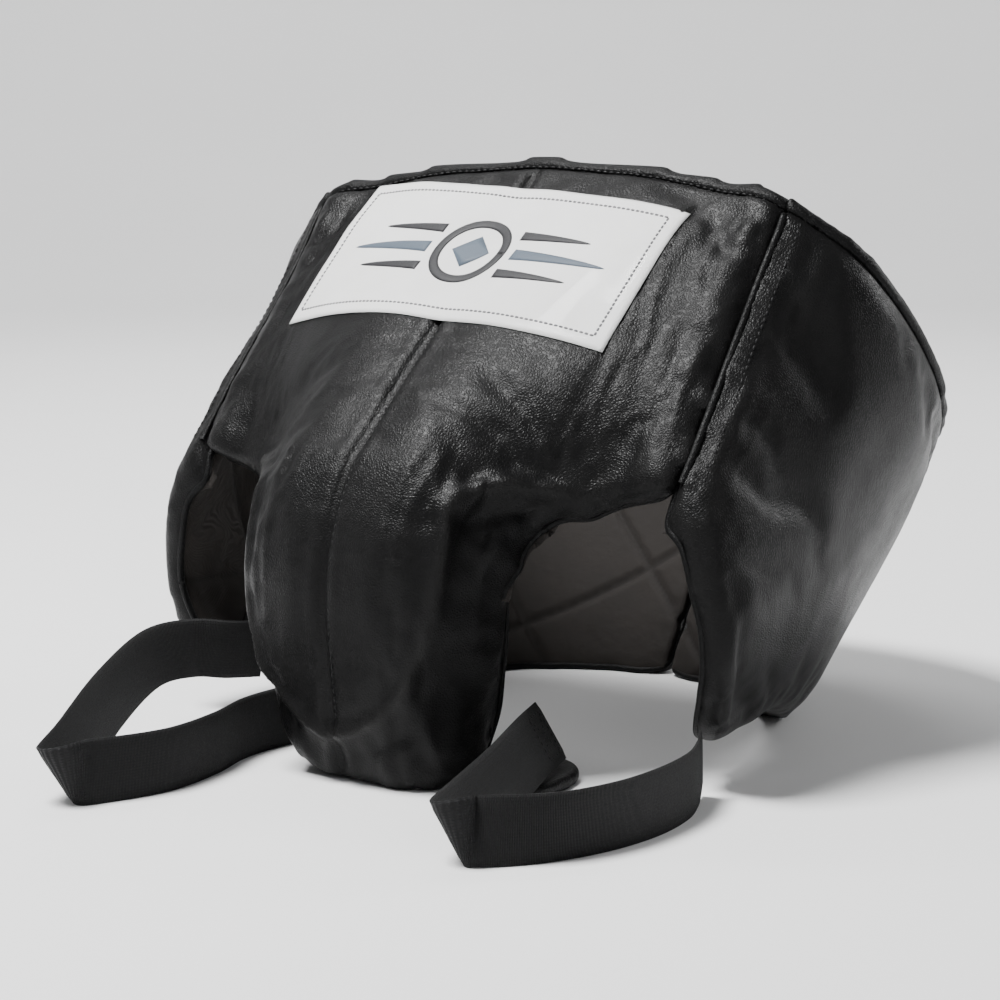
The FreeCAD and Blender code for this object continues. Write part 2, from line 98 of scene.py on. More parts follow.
def rim_height(x, back):
    """Height of the waist rim at a place, as worn."""
    return RIM_FRONT - RIM_DROP * (x / SEAM_X) ** 2 - RIM_SLOPE * (back + 150 * MM)


def below_rim(worn):
    """How far worn points lie below the waist rim."""
    return rim_height(worn[:, 0], worn[:, 1]) - worn[:, 2]


def smooth_step(t):
    """0 up to 0, 1 from 1 on, and smooth between."""
    t = np.clip(t, 0.0, 1.0)
    return t * t * (3 - 2 * t)


def ramp(value, start, width):
    """0 up to start and 1 a width further on, in millimetres; or with a negative width the same
    downwards."""
    return smooth_step((value - start * MM) / (width * MM))


def bell(distance, width):
    """1 at a distance of 0, fading out over a few widths on both sides."""
    return np.exp(-(distance / width) ** 2)


def unit(vectors):
    """Vectors brought to a length of 1."""
    return vectors / np.linalg.norm(vectors, axis=-1, keepdims=True).clip(1e-12)


def run_of(path):
    """The distance covered at each point of a path."""
    return np.concatenate([[0], np.cumsum(np.linalg.norm(np.diff(path, axis=0), axis=1))])


def read_at(where, run, field):
    """A path's places or normals at distances along it."""
    return np.stack([np.interp(where, run, field[:, k]) for k in range(3)], -1)


def soften(field):
    """One step of smoothing along the first axis, in place, with both ends kept."""
    field[1:-1] = (field[:-2] + 2 * field[1:-1] + field[2:]) / 4


# ---------------------------------------------------------------------------- mesh helpers
def new_object(name, mesh, *materials):
    obj = bpy.data.objects.new(name, mesh)
    bpy.context.scene.collection.objects.link(obj)
    for material in materials:
        mesh.materials.append(material)
    return obj


def mesh_from(name, verts, faces):
    """A smooth-shaded mesh, none of it below the floor."""
    mesh = bpy.data.meshes.new(name)
    above_floor = [(x, y, max(z, 0.0)) for x, y, z in verts]
    mesh.from_pydata(above_floor, [], [tuple(f) for f in faces])
    shade_smooth(mesh)
    mesh.update()
    return mesh


def shade_smooth(mesh):
    mesh.polygons.foreach_set("use_smooth", [True] * len(mesh.polygons))


def tube_faces(rings, sides, first=0):
    """Quads between the rings of a closed tube whose vertices are numbered ring by ring."""
    return [(first + i * sides + j, first + i * sides + (j + 1) % sides,
             first + (i + 1) * sides + (j + 1) % sides, first + (i + 1) * sides + j)
            for i in range(rings - 1) for j in range(sides)]


def set_uv(mesh, places):
    """Texture coordinates from one (u, v) pair per vertex."""
    index = [loop.vertex_index for loop in mesh.loops]
    mesh.uv_layers.new(name="UVMap").data.foreach_set("uv", places[index].ravel())


def ring_uv(mesh, across, along):
    """Texture coordinates of a tube: across round each ring, along from ring to ring."""
    set_uv(mesh, np.stack([np.tile(across, len(along)), np.repeat(along, len(across))], 1))


def paint(mesh, name, values):
    """Store a value per vertex for the materials to read."""
    layer = mesh.attributes.new(name, "FLOAT", "POINT")
    layer.data.foreach_set("value", values.astype(np.float32))


def coords(mesh):
    out = np.empty(len(mesh.vertices) * 3)
    mesh.vertices.foreach_get("co", out)
    return out.reshape(-1, 3)


def normals(mesh):
    out = np.empty(len(mesh.vertices) * 3)
    mesh.vertices.foreach_get("normal", out)
    return out.reshape(-1, 3)


def set_coords(mesh, points):
    """Move a mesh's vertices to points, none of them below the floor."""
    points[:, 2] = np.maximum(points[:, 2], 0.0)
    mesh.vertices.foreach_set("co", np.ascontiguousarray(points, dtype=np.float32).ravel())
    mesh.update()


def edges_of(mesh):
    out = np.empty(len(mesh.edges) * 2, dtype=np.int64)
    mesh.edges.foreach_get("vertices", out)
    return out.reshape(-1, 2)


def relax(points, edges, times, factor=0.5, weight=1.0):
    """Laplacian smoothing of points over their edges."""
    count = np.bincount(edges.ravel(), minlength=len(points)).clip(1)[:, None]
    for _ in range(times):
        total = np.zeros_like(points)
        np.add.at(total, edges[:, 0], points[edges[:, 1]])
        np.add.at(total, edges[:, 1], points[edges[:, 0]])
        points = points + (total / count - points) * factor * weight
    return points


def tree_of(objects):
    """A search tree over the meshes of some objects."""
    verts, faces = [], []
    for obj in objects:
        base = len(verts)
        verts += [v.co[:] for v in obj.data.vertices]
        faces += [[base + i for i in p.vertices] for p in obj.data.polygons]
    return BVHTree.FromPolygons(verts, faces)


def distances(tree, points):
    return np.array([tree.find_nearest(p)[3] for p in points.tolist()])


def voxel_union(name, node_names, voxel, rounding):
    """One closed mesh round the CAD solids of some nodes, with its edges rounded off."""
    bm = bmesh.new()
    for node in node_names:
        bm.from_mesh(NODES[node].data)
    mesh = bpy.data.meshes.new(name)
    bm.to_mesh(mesh)
    bm.free()
    obj = new_object(name, mesh)
    remesh = obj.modifiers.new("Remesh", "REMESH")
    remesh.mode = "VOXEL"
    remesh.voxel_size = voxel
    bake(obj)
    keep_largest(obj.data)
    set_coords(obj.data, relax(coords(obj.data), edges_of(obj.data), rounding))
    return obj


def bake(obj):
    """Replace an object's mesh by the result of its modifiers."""
    graph = bpy.context.evaluated_depsgraph_get()
    mesh = bpy.data.meshes.new_from_object(obj.evaluated_get(graph))
    obj.modifiers.clear()
    obj.data = mesh


def keep_largest(mesh):
    """Drop loose shells other than the largest one."""
    bm = bmesh.new()
    bm.from_mesh(mesh)
    left = set(bm.verts)
    largest = set()
    while left:
        front = [left.pop()]
        shell = set(front)
        while front:
            near = {vert for edge in front.pop().link_edges for vert in edge.verts} & left
            left -= near
            shell |= near
            front.extend(near)
        largest = max(largest, shell, key=len)
    bmesh.ops.delete(bm, geom=[v for v in bm.verts if v not in largest], context="VERTS")
    bm.to_mesh(mesh)
    bm.free()


def subdivide(obj):
    sub = obj.modifiers.new("Subdivision", "SUBSURF")
    sub.levels = sub.render_levels = 1
    bake(obj)


CLOTH_FRAMES = 20
# A firm shell that grows by 2 % and is blown up from inside.
CLOTH = {"quality": 6, "mass": 0.3, "tension_stiffness": 12, "compression_stiffness": 12,
         "shear_stiffness": 4, "bending_stiffness": 0.4, "vertex_group_mass": "pin", "pin_stiffness": 1.0,
         "use_pressure": True, "uniform_pressure_force": 4, "shrink_min": -0.02}


def swell(obj, pin, cap):
    """Inflate a closed mesh as cloth: pin is 1 where stitched down, cap limits each point's move."""
    start = coords(obj.data)
    group = obj.vertex_groups.new(name="pin")
    for index in np.nonzero(pin > 0.01)[0].tolist():
        group.add([index], float(pin[index]), "REPLACE")
    cloth = obj.modifiers.new("Cloth", "CLOTH")
    for key, value in CLOTH.items():
        setattr(cloth.settings, key, value)
    cloth.settings.effector_weights.gravity = 0
    cloth.point_cache.frame_start = 1
    cloth.point_cache.frame_end = CLOTH_FRAMES
    scene = bpy.context.scene
    for now in range(1, CLOTH_FRAMES + 1):
        scene.frame_set(now)
    graph = bpy.context.evaluated_depsgraph_get()
    moved = coords(obj.evaluated_get(graph).to_mesh())
    obj.modifiers.clear()
    obj.vertex_groups.clear()
    scene.frame_set(1)
    step = moved - start
    length = np.linalg.norm(step, axis=1).clip(1e-9)
    limited = cap * np.tanh(length / cap.clip(1e-6))
    set_coords(obj.data, start + step * (limited / length)[:, None])


def split_at(mesh, field, level=0.0):
    """Cut a mesh along the line where a per-vertex field crosses level. Returns the new field."""
    bm = bmesh.new()
    bm.from_mesh(mesh)
    layer = bm.verts.layers.float.new("field")
    for vert, value in zip(bm.verts, field.tolist()):
        value -= level
        vert[layer] = value if abs(value) > 1e-9 else 1e-9
    crossing = [e for e in bm.edges if e.verts[0][layer] * e.verts[1][layer] < 0]
    fresh = []
    for edge in crossing:
        a, b = edge.verts
        share = a[layer] / (a[layer] - b[layer])
        share = min(max(share, 0.04), 0.96)
        _, vert = bmesh.utils.edge_split(edge, a, share)
        vert[layer] = 0.0
        fresh.append(vert)
    bmesh.ops.connect_verts(bm, verts=fresh)
    bm.verts.index_update()
    values = np.array([v[layer] for v in bm.verts]) + level
    bm.verts.layers.float.remove(layer)
    bm.to_mesh(mesh)
    bm.free()
    return values


def face_means(mesh, field):
    return np.array([field[list(p.vertices)].mean() for p in mesh.polygons])


def border_lines(mesh, chosen):
    """Chains of vertices along the border between chosen faces and the others."""
    sides = {}
    for polygon, inside in zip(mesh.polygons, chosen):
        for key in polygon.edge_keys:
            sides.setdefault(key, []).append(bool(inside))
    links = {}
    for (a, b), found in sides.items():
        if len(found) == 2 and found[0] != found[1]:
            links.setdefault(a, []).append(b)
            links.setdefault(b, []).append(a)
    chains = []
    while links:
        ends = [v for v, others in links.items() if len(others) == 1]
        at = ends[0] if ends else next(iter(links))
        chain = [at]
        while links.get(at):
            after = links[at].pop()
            links[after].remove(at)
            if not links[at]:
                links.pop(at)
            chain.append(after)
            at = after
        if at in links and not links[at]:
            links.pop(at)
        links = {v: others for v, others in links.items() if others}
        chains.append(chain)
    return chains


def sweep(name, path, ups, profile, material):
    """A closed profile carried along a path. profile is (side, up) pairs; ups point off the skin."""
    along = unit(np.gradient(path, axis=0))
    ups = unit(ups - along * (ups * along).sum(1)[:, None])
    across = np.cross(along, ups)
    side, rise = np.array(profile).T
    rings = path[:, None] + across[:, None] * side[None, :, None] + ups[:, None] * rise[None, :, None]
    count, n = rings.shape[:2]
    faces = tube_faces(count, n)
    faces.append(tuple(range(n)))
    faces.append(tuple((count - 1) * n + j for j in reversed(range(n))))
    mesh = mesh_from(name, rings.reshape(-1, 3), faces)
    ring_uv(mesh, np.linspace(0, 1, n), run_of(path))
    return new_object(name, mesh, material)


def round_profile(half_width, height, sink):
    """A half-oval profile that stands on the skin, its foot sunk by sink."""
    steps, foot = 10, 0.6 * MM
    turns = [math.pi * i / steps for i in range(steps + 1)]
    points = [(half_width * math.cos(a), height * math.sin(a) - sink) for a in turns]
    return points + [(-half_width * 0.9, -sink - foot), (half_width * 0.9, -sink - foot)]


def stitches(name, path, ups, material, pitch=3.2 * MM, length=2.3 * MM, radius=0.36 * MM, lift=0.1 * MM):
    """A row of thread stitches along a path on the skin, as short capsules."""
    run = run_of(path)
    count = max(int(run[-1] / pitch), 1)
    verts, faces = [], []
    # place along the capsule and share of its radius, from end to end
    sides, rings = 6, ((-1.0, 0.25), (-0.7, 0.85), (0.0, 1.0), (0.7, 0.85), (1.0, 0.25))
    for i in range(count):
        middle = (i + 0.5) * run[-1] / count
        first, last = (read_at(middle + s * length / 2, run, path) for s in (-1, 1))
        if np.linalg.norm(last - first) < 1e-6:
            continue
        along = unit(last - first)
        up = read_at(middle, run, ups)
        up = unit(up - along * (up @ along))
        across = np.cross(along, up)
        centre = (first + last) / 2 + up * lift
        base = len(verts)
        for place, size in rings:
            sink = up * radius * (place * place) * 0.9
            for j in range(sides):
                a = 2 * math.pi * j / sides
                out = (across * math.cos(a) * 1.25 + up * math.sin(a)) * radius * size
                verts.append(centre + along * place * length / 2 + out - sink)
        faces += tube_faces(len(rings), sides, base)
        faces.append(tuple(base + j for j in reversed(range(sides))))
        faces.append(tuple(base + (len(rings) - 1) * sides + j for j in range(sides)))
    return new_object(name, mesh_from(name, verts, faces), material)


def stitch_row(name, pairs, **shape):
    """A row of black stitches along places on the skin."""
    row = stitches(name, *path_of(pairs, smooth=shape.pop("smooth", 4)), THREAD, **shape)
    return row


def join(name, objects):
    """Several objects as one mesh."""
    bm = bmesh.new()
    materials = []
    for obj in objects:
        slots = []
        for material in obj.data.materials:
            if material not in materials:
                materials.append(material)
            slots.append(materials.index(material))
        before = len(bm.faces)
        bm.from_mesh(obj.data)
        bm.faces.ensure_lookup_table()
        for face in bm.faces[before:]:
            face.material_index = slots[face.material_index] if slots else 0
        bpy.data.objects.remove(obj)
    mesh = bpy.data.meshes.new(name)
    bm.to_mesh(mesh)
    bm.free()
    return new_object(name, mesh, *materials)


# ------------------------------------------------------------------------------- materials
class Nodes:
    """A short way to write a material's node tree."""

    def __init__(self, name):
        self.material = bpy.data.materials.new(name)
        self.material.use_nodes = True
        self.tree = self.material.node_tree
        self.shader = self.tree.nodes["Principled BSDF"]
        self.coords = self.add("ShaderNodeTexCoord")

    def add(self, kind, *inputs, **settings):
        """A node with some settings, its inputs given as (socket, value or source)."""
        node = self.tree.nodes.new(kind)
        for key, value in settings.items():
            setattr(node, key, value)
        for socket, source in inputs:
            self.link(source, node.inputs[socket])
        return node

    def link(self, source, target):
        if isinstance(source, (int, float, tuple)):
            target.default_value = source
        else:
            self.tree.links.new(source, target)

    def noise(self, scale, detail, stretch=(1, 1, 1)):
        mapping = self.add("ShaderNodeMapping", ("Scale", stretch),
                           ("Vector", self.coords.outputs["Object"]))
        return self.add("ShaderNodeTexNoise", ("Scale", scale), ("Detail", detail), ("Roughness", 0.55),
                        ("Vector", mapping.outputs["Vector"])).outputs["Fac"]

    def cells(self, scale, warp):
        """Distance to the edges of slightly warped cells."""
        place = self.coords.outputs["Object"]
        wobble = self.add("ShaderNodeTexNoise", ("Scale", scale * 0.4), ("Vector", place))
        shifted = self.add("ShaderNodeMix", ("Factor", warp), (4, place), (5, wobble.outputs["Color"]),
                           data_type="VECTOR")
        return self.add("ShaderNodeTexVoronoi", ("Scale", scale), ("Vector", shifted.outputs[1]),
                        feature="DISTANCE_TO_EDGE").outputs["Distance"]

    def wave(self, scale, axis, space, distortion=0.0):
        return self.add("ShaderNodeTexWave", ("Scale", scale), ("Distortion", distortion),
                        ("Vector", self.coords.outputs[space]), bands_direction=axis).outputs["Fac"]

    def math(self, operation, *values):
        values = (*values, 0.0, 0.0)[:3]
        return self.add("ShaderNodeMath", *enumerate(values), operation=operation).outputs[0]

    def span(self, *values):
        """A value brought smoothly from low..high to another range: value, low, high, to_low, to_high."""
        return self.add("ShaderNodeMapRange", *enumerate(values), interpolation_type="SMOOTHSTEP").outputs[0]

    def colour(self, share, first, second):
        ends = [(*value, 1.0) if isinstance(value, tuple) else value for value in (first, second)]
        return self.add("ShaderNodeMix", ("Factor", share), (6, ends[0]), (7, ends[1]),
                        data_type="RGBA").outputs[2]

    def attribute(self, name):
        return self.add("ShaderNodeAttribute", attribute_name=name).outputs["Fac"]

    def finish(self, colour, roughness, height, distance, **others):
        bump = self.add("ShaderNodeBump", ("Strength", 1.0), ("Distance", distance), ("Height", height))
        wanted = {"Normal": bump.outputs["Normal"], "Base Color": colour, "Roughness": roughness}
        wanted.update((name.replace("_", " "), value) for name, value in others.items())
        for name, value in wanted.items():
            self.link(value, self.shader.inputs[name])
        return self.material


def leather(name, dark, light, rough=(0.30, 0.43), grain=0.00014):
    """Semi-gloss leather: pebbled grain with pores, tiny creases, blotchy tone and a painted highlight on
    fold and crease ridges.
    """
    n = Nodes(name)
    pebble = n.cells(900.0, 0.0006)
    fine = n.noise(2600.0, 2.0)
    crease = n.noise(160.0, 5.0, (1.0, 0.45, 0.45))
    blotch = n.noise(14.0, 4.0)
    height = n.math("MULTIPLY_ADD", n.span(pebble, 0.0, 0.35, 0.0, 1.0), 0.65,
                    n.math("MULTIPLY_ADD", fine, 0.25, n.math("MULTIPLY", crease, 1.6)))
    # painted highlight: the tint goes lighter where the forms paint their fold and crease ridges
    share = n.math("MULTIPLY_ADD", blotch, 0.6, n.math("MULTIPLY", n.attribute("ridge_highlight"), 0.6))
    tint = n.colour(share, dark, light)
    roughness = n.span(n.math("ADD", n.math("MULTIPLY", blotch, 0.6), n.math("MULTIPLY", crease, 0.4)),
                       0.3, 0.7, rough[0], rough[1])
    return n.finish(tint, roughness, height, grain, Specular_IOR_Level=0.11)


def quilted_cloth(name):
    """Brown-grey nylon lining with a fine weave and darker stitched channels."""
    n = Nodes(name)
    warp = n.wave(900.0, "X", "Object", 0.3)
    weft = n.wave(900.0, "Z", "Object", 0.3)
    weave = n.math("MULTIPLY", warp, weft)
    blotch = n.noise(30.0, 4.0)
    seam = n.attribute("seam")
    base = n.colour(blotch, (0.012, 0.0098, 0.0085), (0.023, 0.0188, 0.0162))
    tint = n.colour(n.math("MULTIPLY", seam, 0.75), base, (0.012, 0.010, 0.009))
    height = n.math("MULTIPLY_ADD", n.noise(220.0, 4.0), 2.0, weave)
    return n.finish(tint, n.span(weave, 0.0, 1.0, 0.62, 0.80), height, 0.00018,
                    Sheen_Weight=0.03, Sheen_Roughness=0.5, Specular_IOR_Level=0.2)


def webbing(name, dark, light):
    """Woven elastic: cross ribs with lengthwise cords."""
    n = Nodes(name)
    rib = n.wave(520.0, "Y", "UV", 0.15)
    cord = n.wave(7.0, "X", "UV")
    fuzz = n.noise(1500.0, 3.0)
    height = n.math("MULTIPLY_ADD", n.math("MULTIPLY", rib, n.math("MULTIPLY_ADD", cord, 0.4, 0.6)),
                    1.0, n.math("MULTIPLY", fuzz, 0.35))
    tint = n.colour(n.math("MULTIPLY_ADD", rib, 0.5, n.math("MULTIPLY", fuzz, 0.5)), dark, light)
    return n.finish(tint, n.span(fuzz, 0.2, 0.8, 0.62, 0.85), height, 0.0004, Sheen_Weight=0.02,
                    Sheen_Roughness=0.4, Specular_IOR_Level=0.22)


def thread(name, dark, light):
    """Twisted thread, also for embroidery."""
    n = Nodes(name)
    twist = n.noise(2500.0, 2.0, (1.0, 0.4, 1.0))
    return n.finish(n.colour(twist, dark, light), n.span(twist, 0.3, 0.7, 0.45, 0.65), twist, 0.0001,
                    Specular_IOR_Level=0.25)


def label_face(name):
    """White satin patch, a little soiled in blotches, with a fine cross grain."""
    n = Nodes(name)
    grain = n.math("MULTIPLY", n.wave(1500.0, "X", "Object"), n.wave(1500.0, "Z", "Object"))
    stain = n.noise(18.0, 4.0)
    tint = n.colour(n.span(stain, 0.35, 0.75, 0.0, 1.0), (0.86, 0.86, 0.85), (0.78, 0.775, 0.76))
    return n.finish(tint, n.span(stain, 0.3, 0.7, 0.36, 0.5), n.math("ADD", grain, stain), 0.00008,
                    Coat_Weight=0.1)


def pile(name, dark, light, scale, depth):
    """Matt tufts of a hook or loop tape."""
    n = Nodes(name)
    tuft = n.noise(scale, 4.0)
    return n.finish(n.colour(tuft, dark, light), n.span(tuft, 0.2, 0.8, 0.75, 0.95), tuft, depth,
                    Sheen_Weight=0.3)


BLACK = leather("black_leather", (0.0035, 0.0035, 0.0037), (0.0095, 0.0093, 0.0092))
TRIM = leather("trim_leather", (0.0030, 0.0030, 0.0032), (0.0075, 0.0075, 0.0075), (0.36, 0.5), 0.00016)
LINING = quilted_cloth("quilted_lining")
WEB = webbing("black_elastic", (0.0035, 0.0035, 0.0038), (0.011, 0.011, 0.0115))
THREAD = thread("black_thread", (0.004, 0.004, 0.0043), (0.012, 0.012, 0.0125))
GREY_THREAD = thread("grey_thread", (0.10, 0.10, 0.105), (0.20, 0.20, 0.205))
LABEL = label_face("white_patch")
DARK_PRINT = thread("charcoal_embroidery", (0.010, 0.010, 0.012), (0.03, 0.03, 0.032))
BLUE_PRINT = thread("slate_embroidery", (0.045, 0.062, 0.085), (0.10, 0.125, 0.155))
LOOP = pile("loop_pile", (0.010, 0.010, 0.011), (0.04, 0.04, 0.042), 900.0, 0.0008)
HOOK = pile("hook_tape", (0.008, 0.008, 0.009), (0.03, 0.03, 0.03), 700.0, 0.0005)


# -------------------------------------------------------------------------- the padded forms
CUP_TOP = 50 * MM
# Width of the gap between the wings at the back.
BACK_GAP = 3 * MM
# Half width and height of the fold round the cup's front panel, from its tip to the arch.
FOLD_LINE = ((0, -48.5), (12, -46.5), (24, -41.5), (32.5, -34.5), (38, -26), (43, -14), (45.4, -5),
             (47.2, 8), (47.2, 20), (46, 30), (48.3, 38), (52, 44.5), (58.5, 50), (66, 53.5),
             (75, 57), (86, 60))
VOXEL = 4 * MM
# Smoothing steps that round a fresh form's edges, and the pin above which a point is held.
ROUNDING = 4
PINNED = 0.55
FRONT_LEATHER = ("belly_leather_left", "belly_leather_right", "cup_leather_left",
                 "cup_leather_right", "cup_gusset_left", "cup_gusset_right")
FRONT_EDGE = ("leg_arch_facing_left", "leg_arch_facing_right")
FRONT_LINED = ("belly_lining", "cup_lining")
FRONT_CORE = ("belly_foam_pad", "cup_foam_pad", "hard_cup")


def seam_line(x_sign):
    """Signed distance in front of (below 0) or behind a side seam's upright plane."""
    return lambda worn: (x_sign * worn[:, 0] + worn[:, 1] - 22 * MM) / math.sqrt(2)


def seam_distance(worn):
    """Distance to the nearer side seam's plane."""
    return np.minimum(*(np.abs(seam_line(sign)(worn)) for sign in SIDES.values()))


def fold_gap(worn):
    """Signed distance, seen from the front, to the fold that outlines the cup's front panel and
    sweeps on over its shoulder to the leg arch. Above 0 is outside the panel."""
    line = np.array(FOLD_LINE) * MM
    gap = np.full(len(worn), 1.0)
    x, up = np.abs(worn[:, 0]), worn[:, 2]
    for (ax, az), (bx, bz) in zip(line[:-1], line[1:]):
        rx, rz = bx - ax, bz - az
        t = np.clip(((x - ax) * rx + (up - az) * rz) / (rx * rx + rz * rz), 0, 1)
        dx, dz = x - ax - t * rx, up - az - t * rz
        here = np.hypot(dx, dz) * np.where(rx * dz - rz * dx > 0, -1.0, 1.0)
        gap = np.where(np.abs(here) < np.abs(gap), here, gap)
    return gap


def quilt_distance(worn, facing=1):
    """Distance to the nearest line of the lining's diamond stitching, along the lining.
    Facing is 1 for the wings, measured from the centre back, and -1 for the front."""
    turn = np.arctan2(worn[:, 0], facing * (worn[:, 1] + 10 * MM))
    run = turn * 118 * MM
    pitch = 64 * MM
    gap = np.full(len(worn), 1.0)
    for sign, phase in ((1.0, 78.6 * MM), (-1.0, -111.6 * MM)):
        across = ((run + sign * worn[:, 2]) / math.sqrt(2) - phase) / pitch
        gap = np.minimum(gap, np.abs(across - np.round(across)) * pitch)
    return gap


def arch_height(x):
    """Height of the leg arches' edge at a half width, as worn."""
    return np.interp(np.abs(x) / MM, [56.5, 61, 70, 84, 104, 119, 150],
                     [14, 32, 46, 55, 62, 63, 66]) * MM


def lining_field(mesh, layers):
    """Below 0 on the lining and above 0 on the leather, and the distance to the leather's edges,
    from the CAD's own layers: the nodes of the leather, its edges and the lining."""
    points = coords(mesh)
    outer, edge, lined = (distances(tree_of([NODES[name] for name in names]), points) for names in layers)
    return lined - np.minimum(outer, edge), edge


def wrinkle(worn, scale, stretch, seed):
    """Ridged noise for creases, drawn out along the worn frame's axes by stretch."""
    offset = Vector((seed * 7.3, seed * 3.1, seed * 5.7))
    places = [Vector(p) for p in (worn / np.array(stretch) / scale).tolist()]
    value = np.array([noise.noise(p + offset) + 0.5 * noise.noise(p * 2.1 + offset) for p in places])
    return 1.0 - np.minimum(np.abs(value) * 2.2, 1.0)


def slackness(worn, scale, stretch, seed):
    """Smooth noise from about -1 to 1 for broad, soft unevenness."""
    offset = Vector((seed * 7.3, seed * 3.1, seed * 5.7))
    places = [Vector(p) for p in (worn / np.array(stretch) / scale).tolist()]
    return np.array([noise.noise(p + offset) for p in places]) * 1.6


def settle_rim(mesh):
    """Take small lumps out of the rim without letting it shrink."""
    points, edges = coords(mesh), edges_of(mesh)
    weight = ramp(below_rim(to_worn(points)), 24, -12)[:, None]
    for _ in range(16):
        points = relax(points, edges, 1, 0.5, weight)
        points = relax(points, edges, 1, -0.51, weight)
    set_coords(mesh, points)


def tighten(mesh, distance, normal, low=62):
    """Bring a rounded end up to the plane it is sewn along, above a height in millimetres as worn.
    Distance gives each point's distance from the plane, and normal points into the piece."""
    room = 0.25 * MM
    worn = to_worn(coords(mesh))
    gap = distance(worn)
    step = (room - gap) * ramp(gap, 5, -3) * ramp(worn[:, 2], low, 8)
    set_coords(mesh, to_row(worn + step[:, None] * np.array(normal)))


def padded_form(name, nodes, layers, hold, ends, detail):
    """One closed padded form round some CAD nodes, and which of its faces are lining. Hold gives
    each point's pin and the most that it may swell, ends says what tighten needs for each sewn
    end, and detail works in the seams and creases."""
    form = voxel_union(name, nodes, VOXEL, ROUNDING)
    side, edge = lining_field(form.data, layers)
    pin, cap = hold(coords(form.data), side < 0, edge)
    swell(form, np.where(pin > PINNED, 1.0, 0.0), cap)
    subdivide(form)
    mesh = form.data
    settle_rim(mesh)
    for end in ends:
        tighten(mesh, *end)
    side = split_at(mesh, lining_field(mesh, layers)[0])
    lined_faces = face_means(mesh, side) < 0
    detail(mesh, side < 0)
    mesh.materials.append(BLACK)
    mesh.materials.append(LINING)
    mesh.polygons.foreach_set("material_index", lined_faces.astype(int))
    shade_smooth(mesh)
    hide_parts(*nodes)
    return form, lined_faces


def hold_front(points, inner, _edge):
    """Pins of the front, 1 where it is sewn down, and how far each point may swell."""
    worn = to_worn(points)
    x, _, up = worn.T
    arch_gap = np.where((up > 8 * MM) & (np.abs(x) > 54 * MM), up - arch_height(x), 1.0)
    in_cup = smooth_step((CUP_TOP + 14 * MM - up) / (16 * MM))
    pin = np.maximum.reduce([
        bell(seam_distance(worn), 7 * MM), bell(below_rim(worn), 13 * MM), bell(arch_gap, 7 * MM),
        bell(x, 3.5 * MM) * ~inner,
        bell(fold_gap(worn), 3.5 * MM) * (up < CUP_TOP) * ~inner,
        (points[:, 2] < 5 * MM) * 1.0,
        bell(quilt_distance(worn, -1), 3 * MM) * inner * (1 - in_cup)])
    return pin, np.where(inner, 3.0 * MM, 3.4 * MM) * (1 - in_cup) + 2.2 * MM * in_cup


def build_front():
    """The belly panel and the cup pouch as one padded form."""
    ends = [(lambda worn, sign=sign: -seam_line(sign)(worn), (-sign / math.sqrt(2), -1 / math.sqrt(2), 0))
            for sign in SIDES.values()]
    form, lined_faces = padded_form(
        "front_padding", FRONT_LEATHER + FRONT_EDGE + FRONT_LINED + FRONT_CORE,
        (FRONT_LEATHER, FRONT_EDGE, FRONT_LINED), hold_front, ends, detail_front)
    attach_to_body(form, "front")
    return form, lined_faces


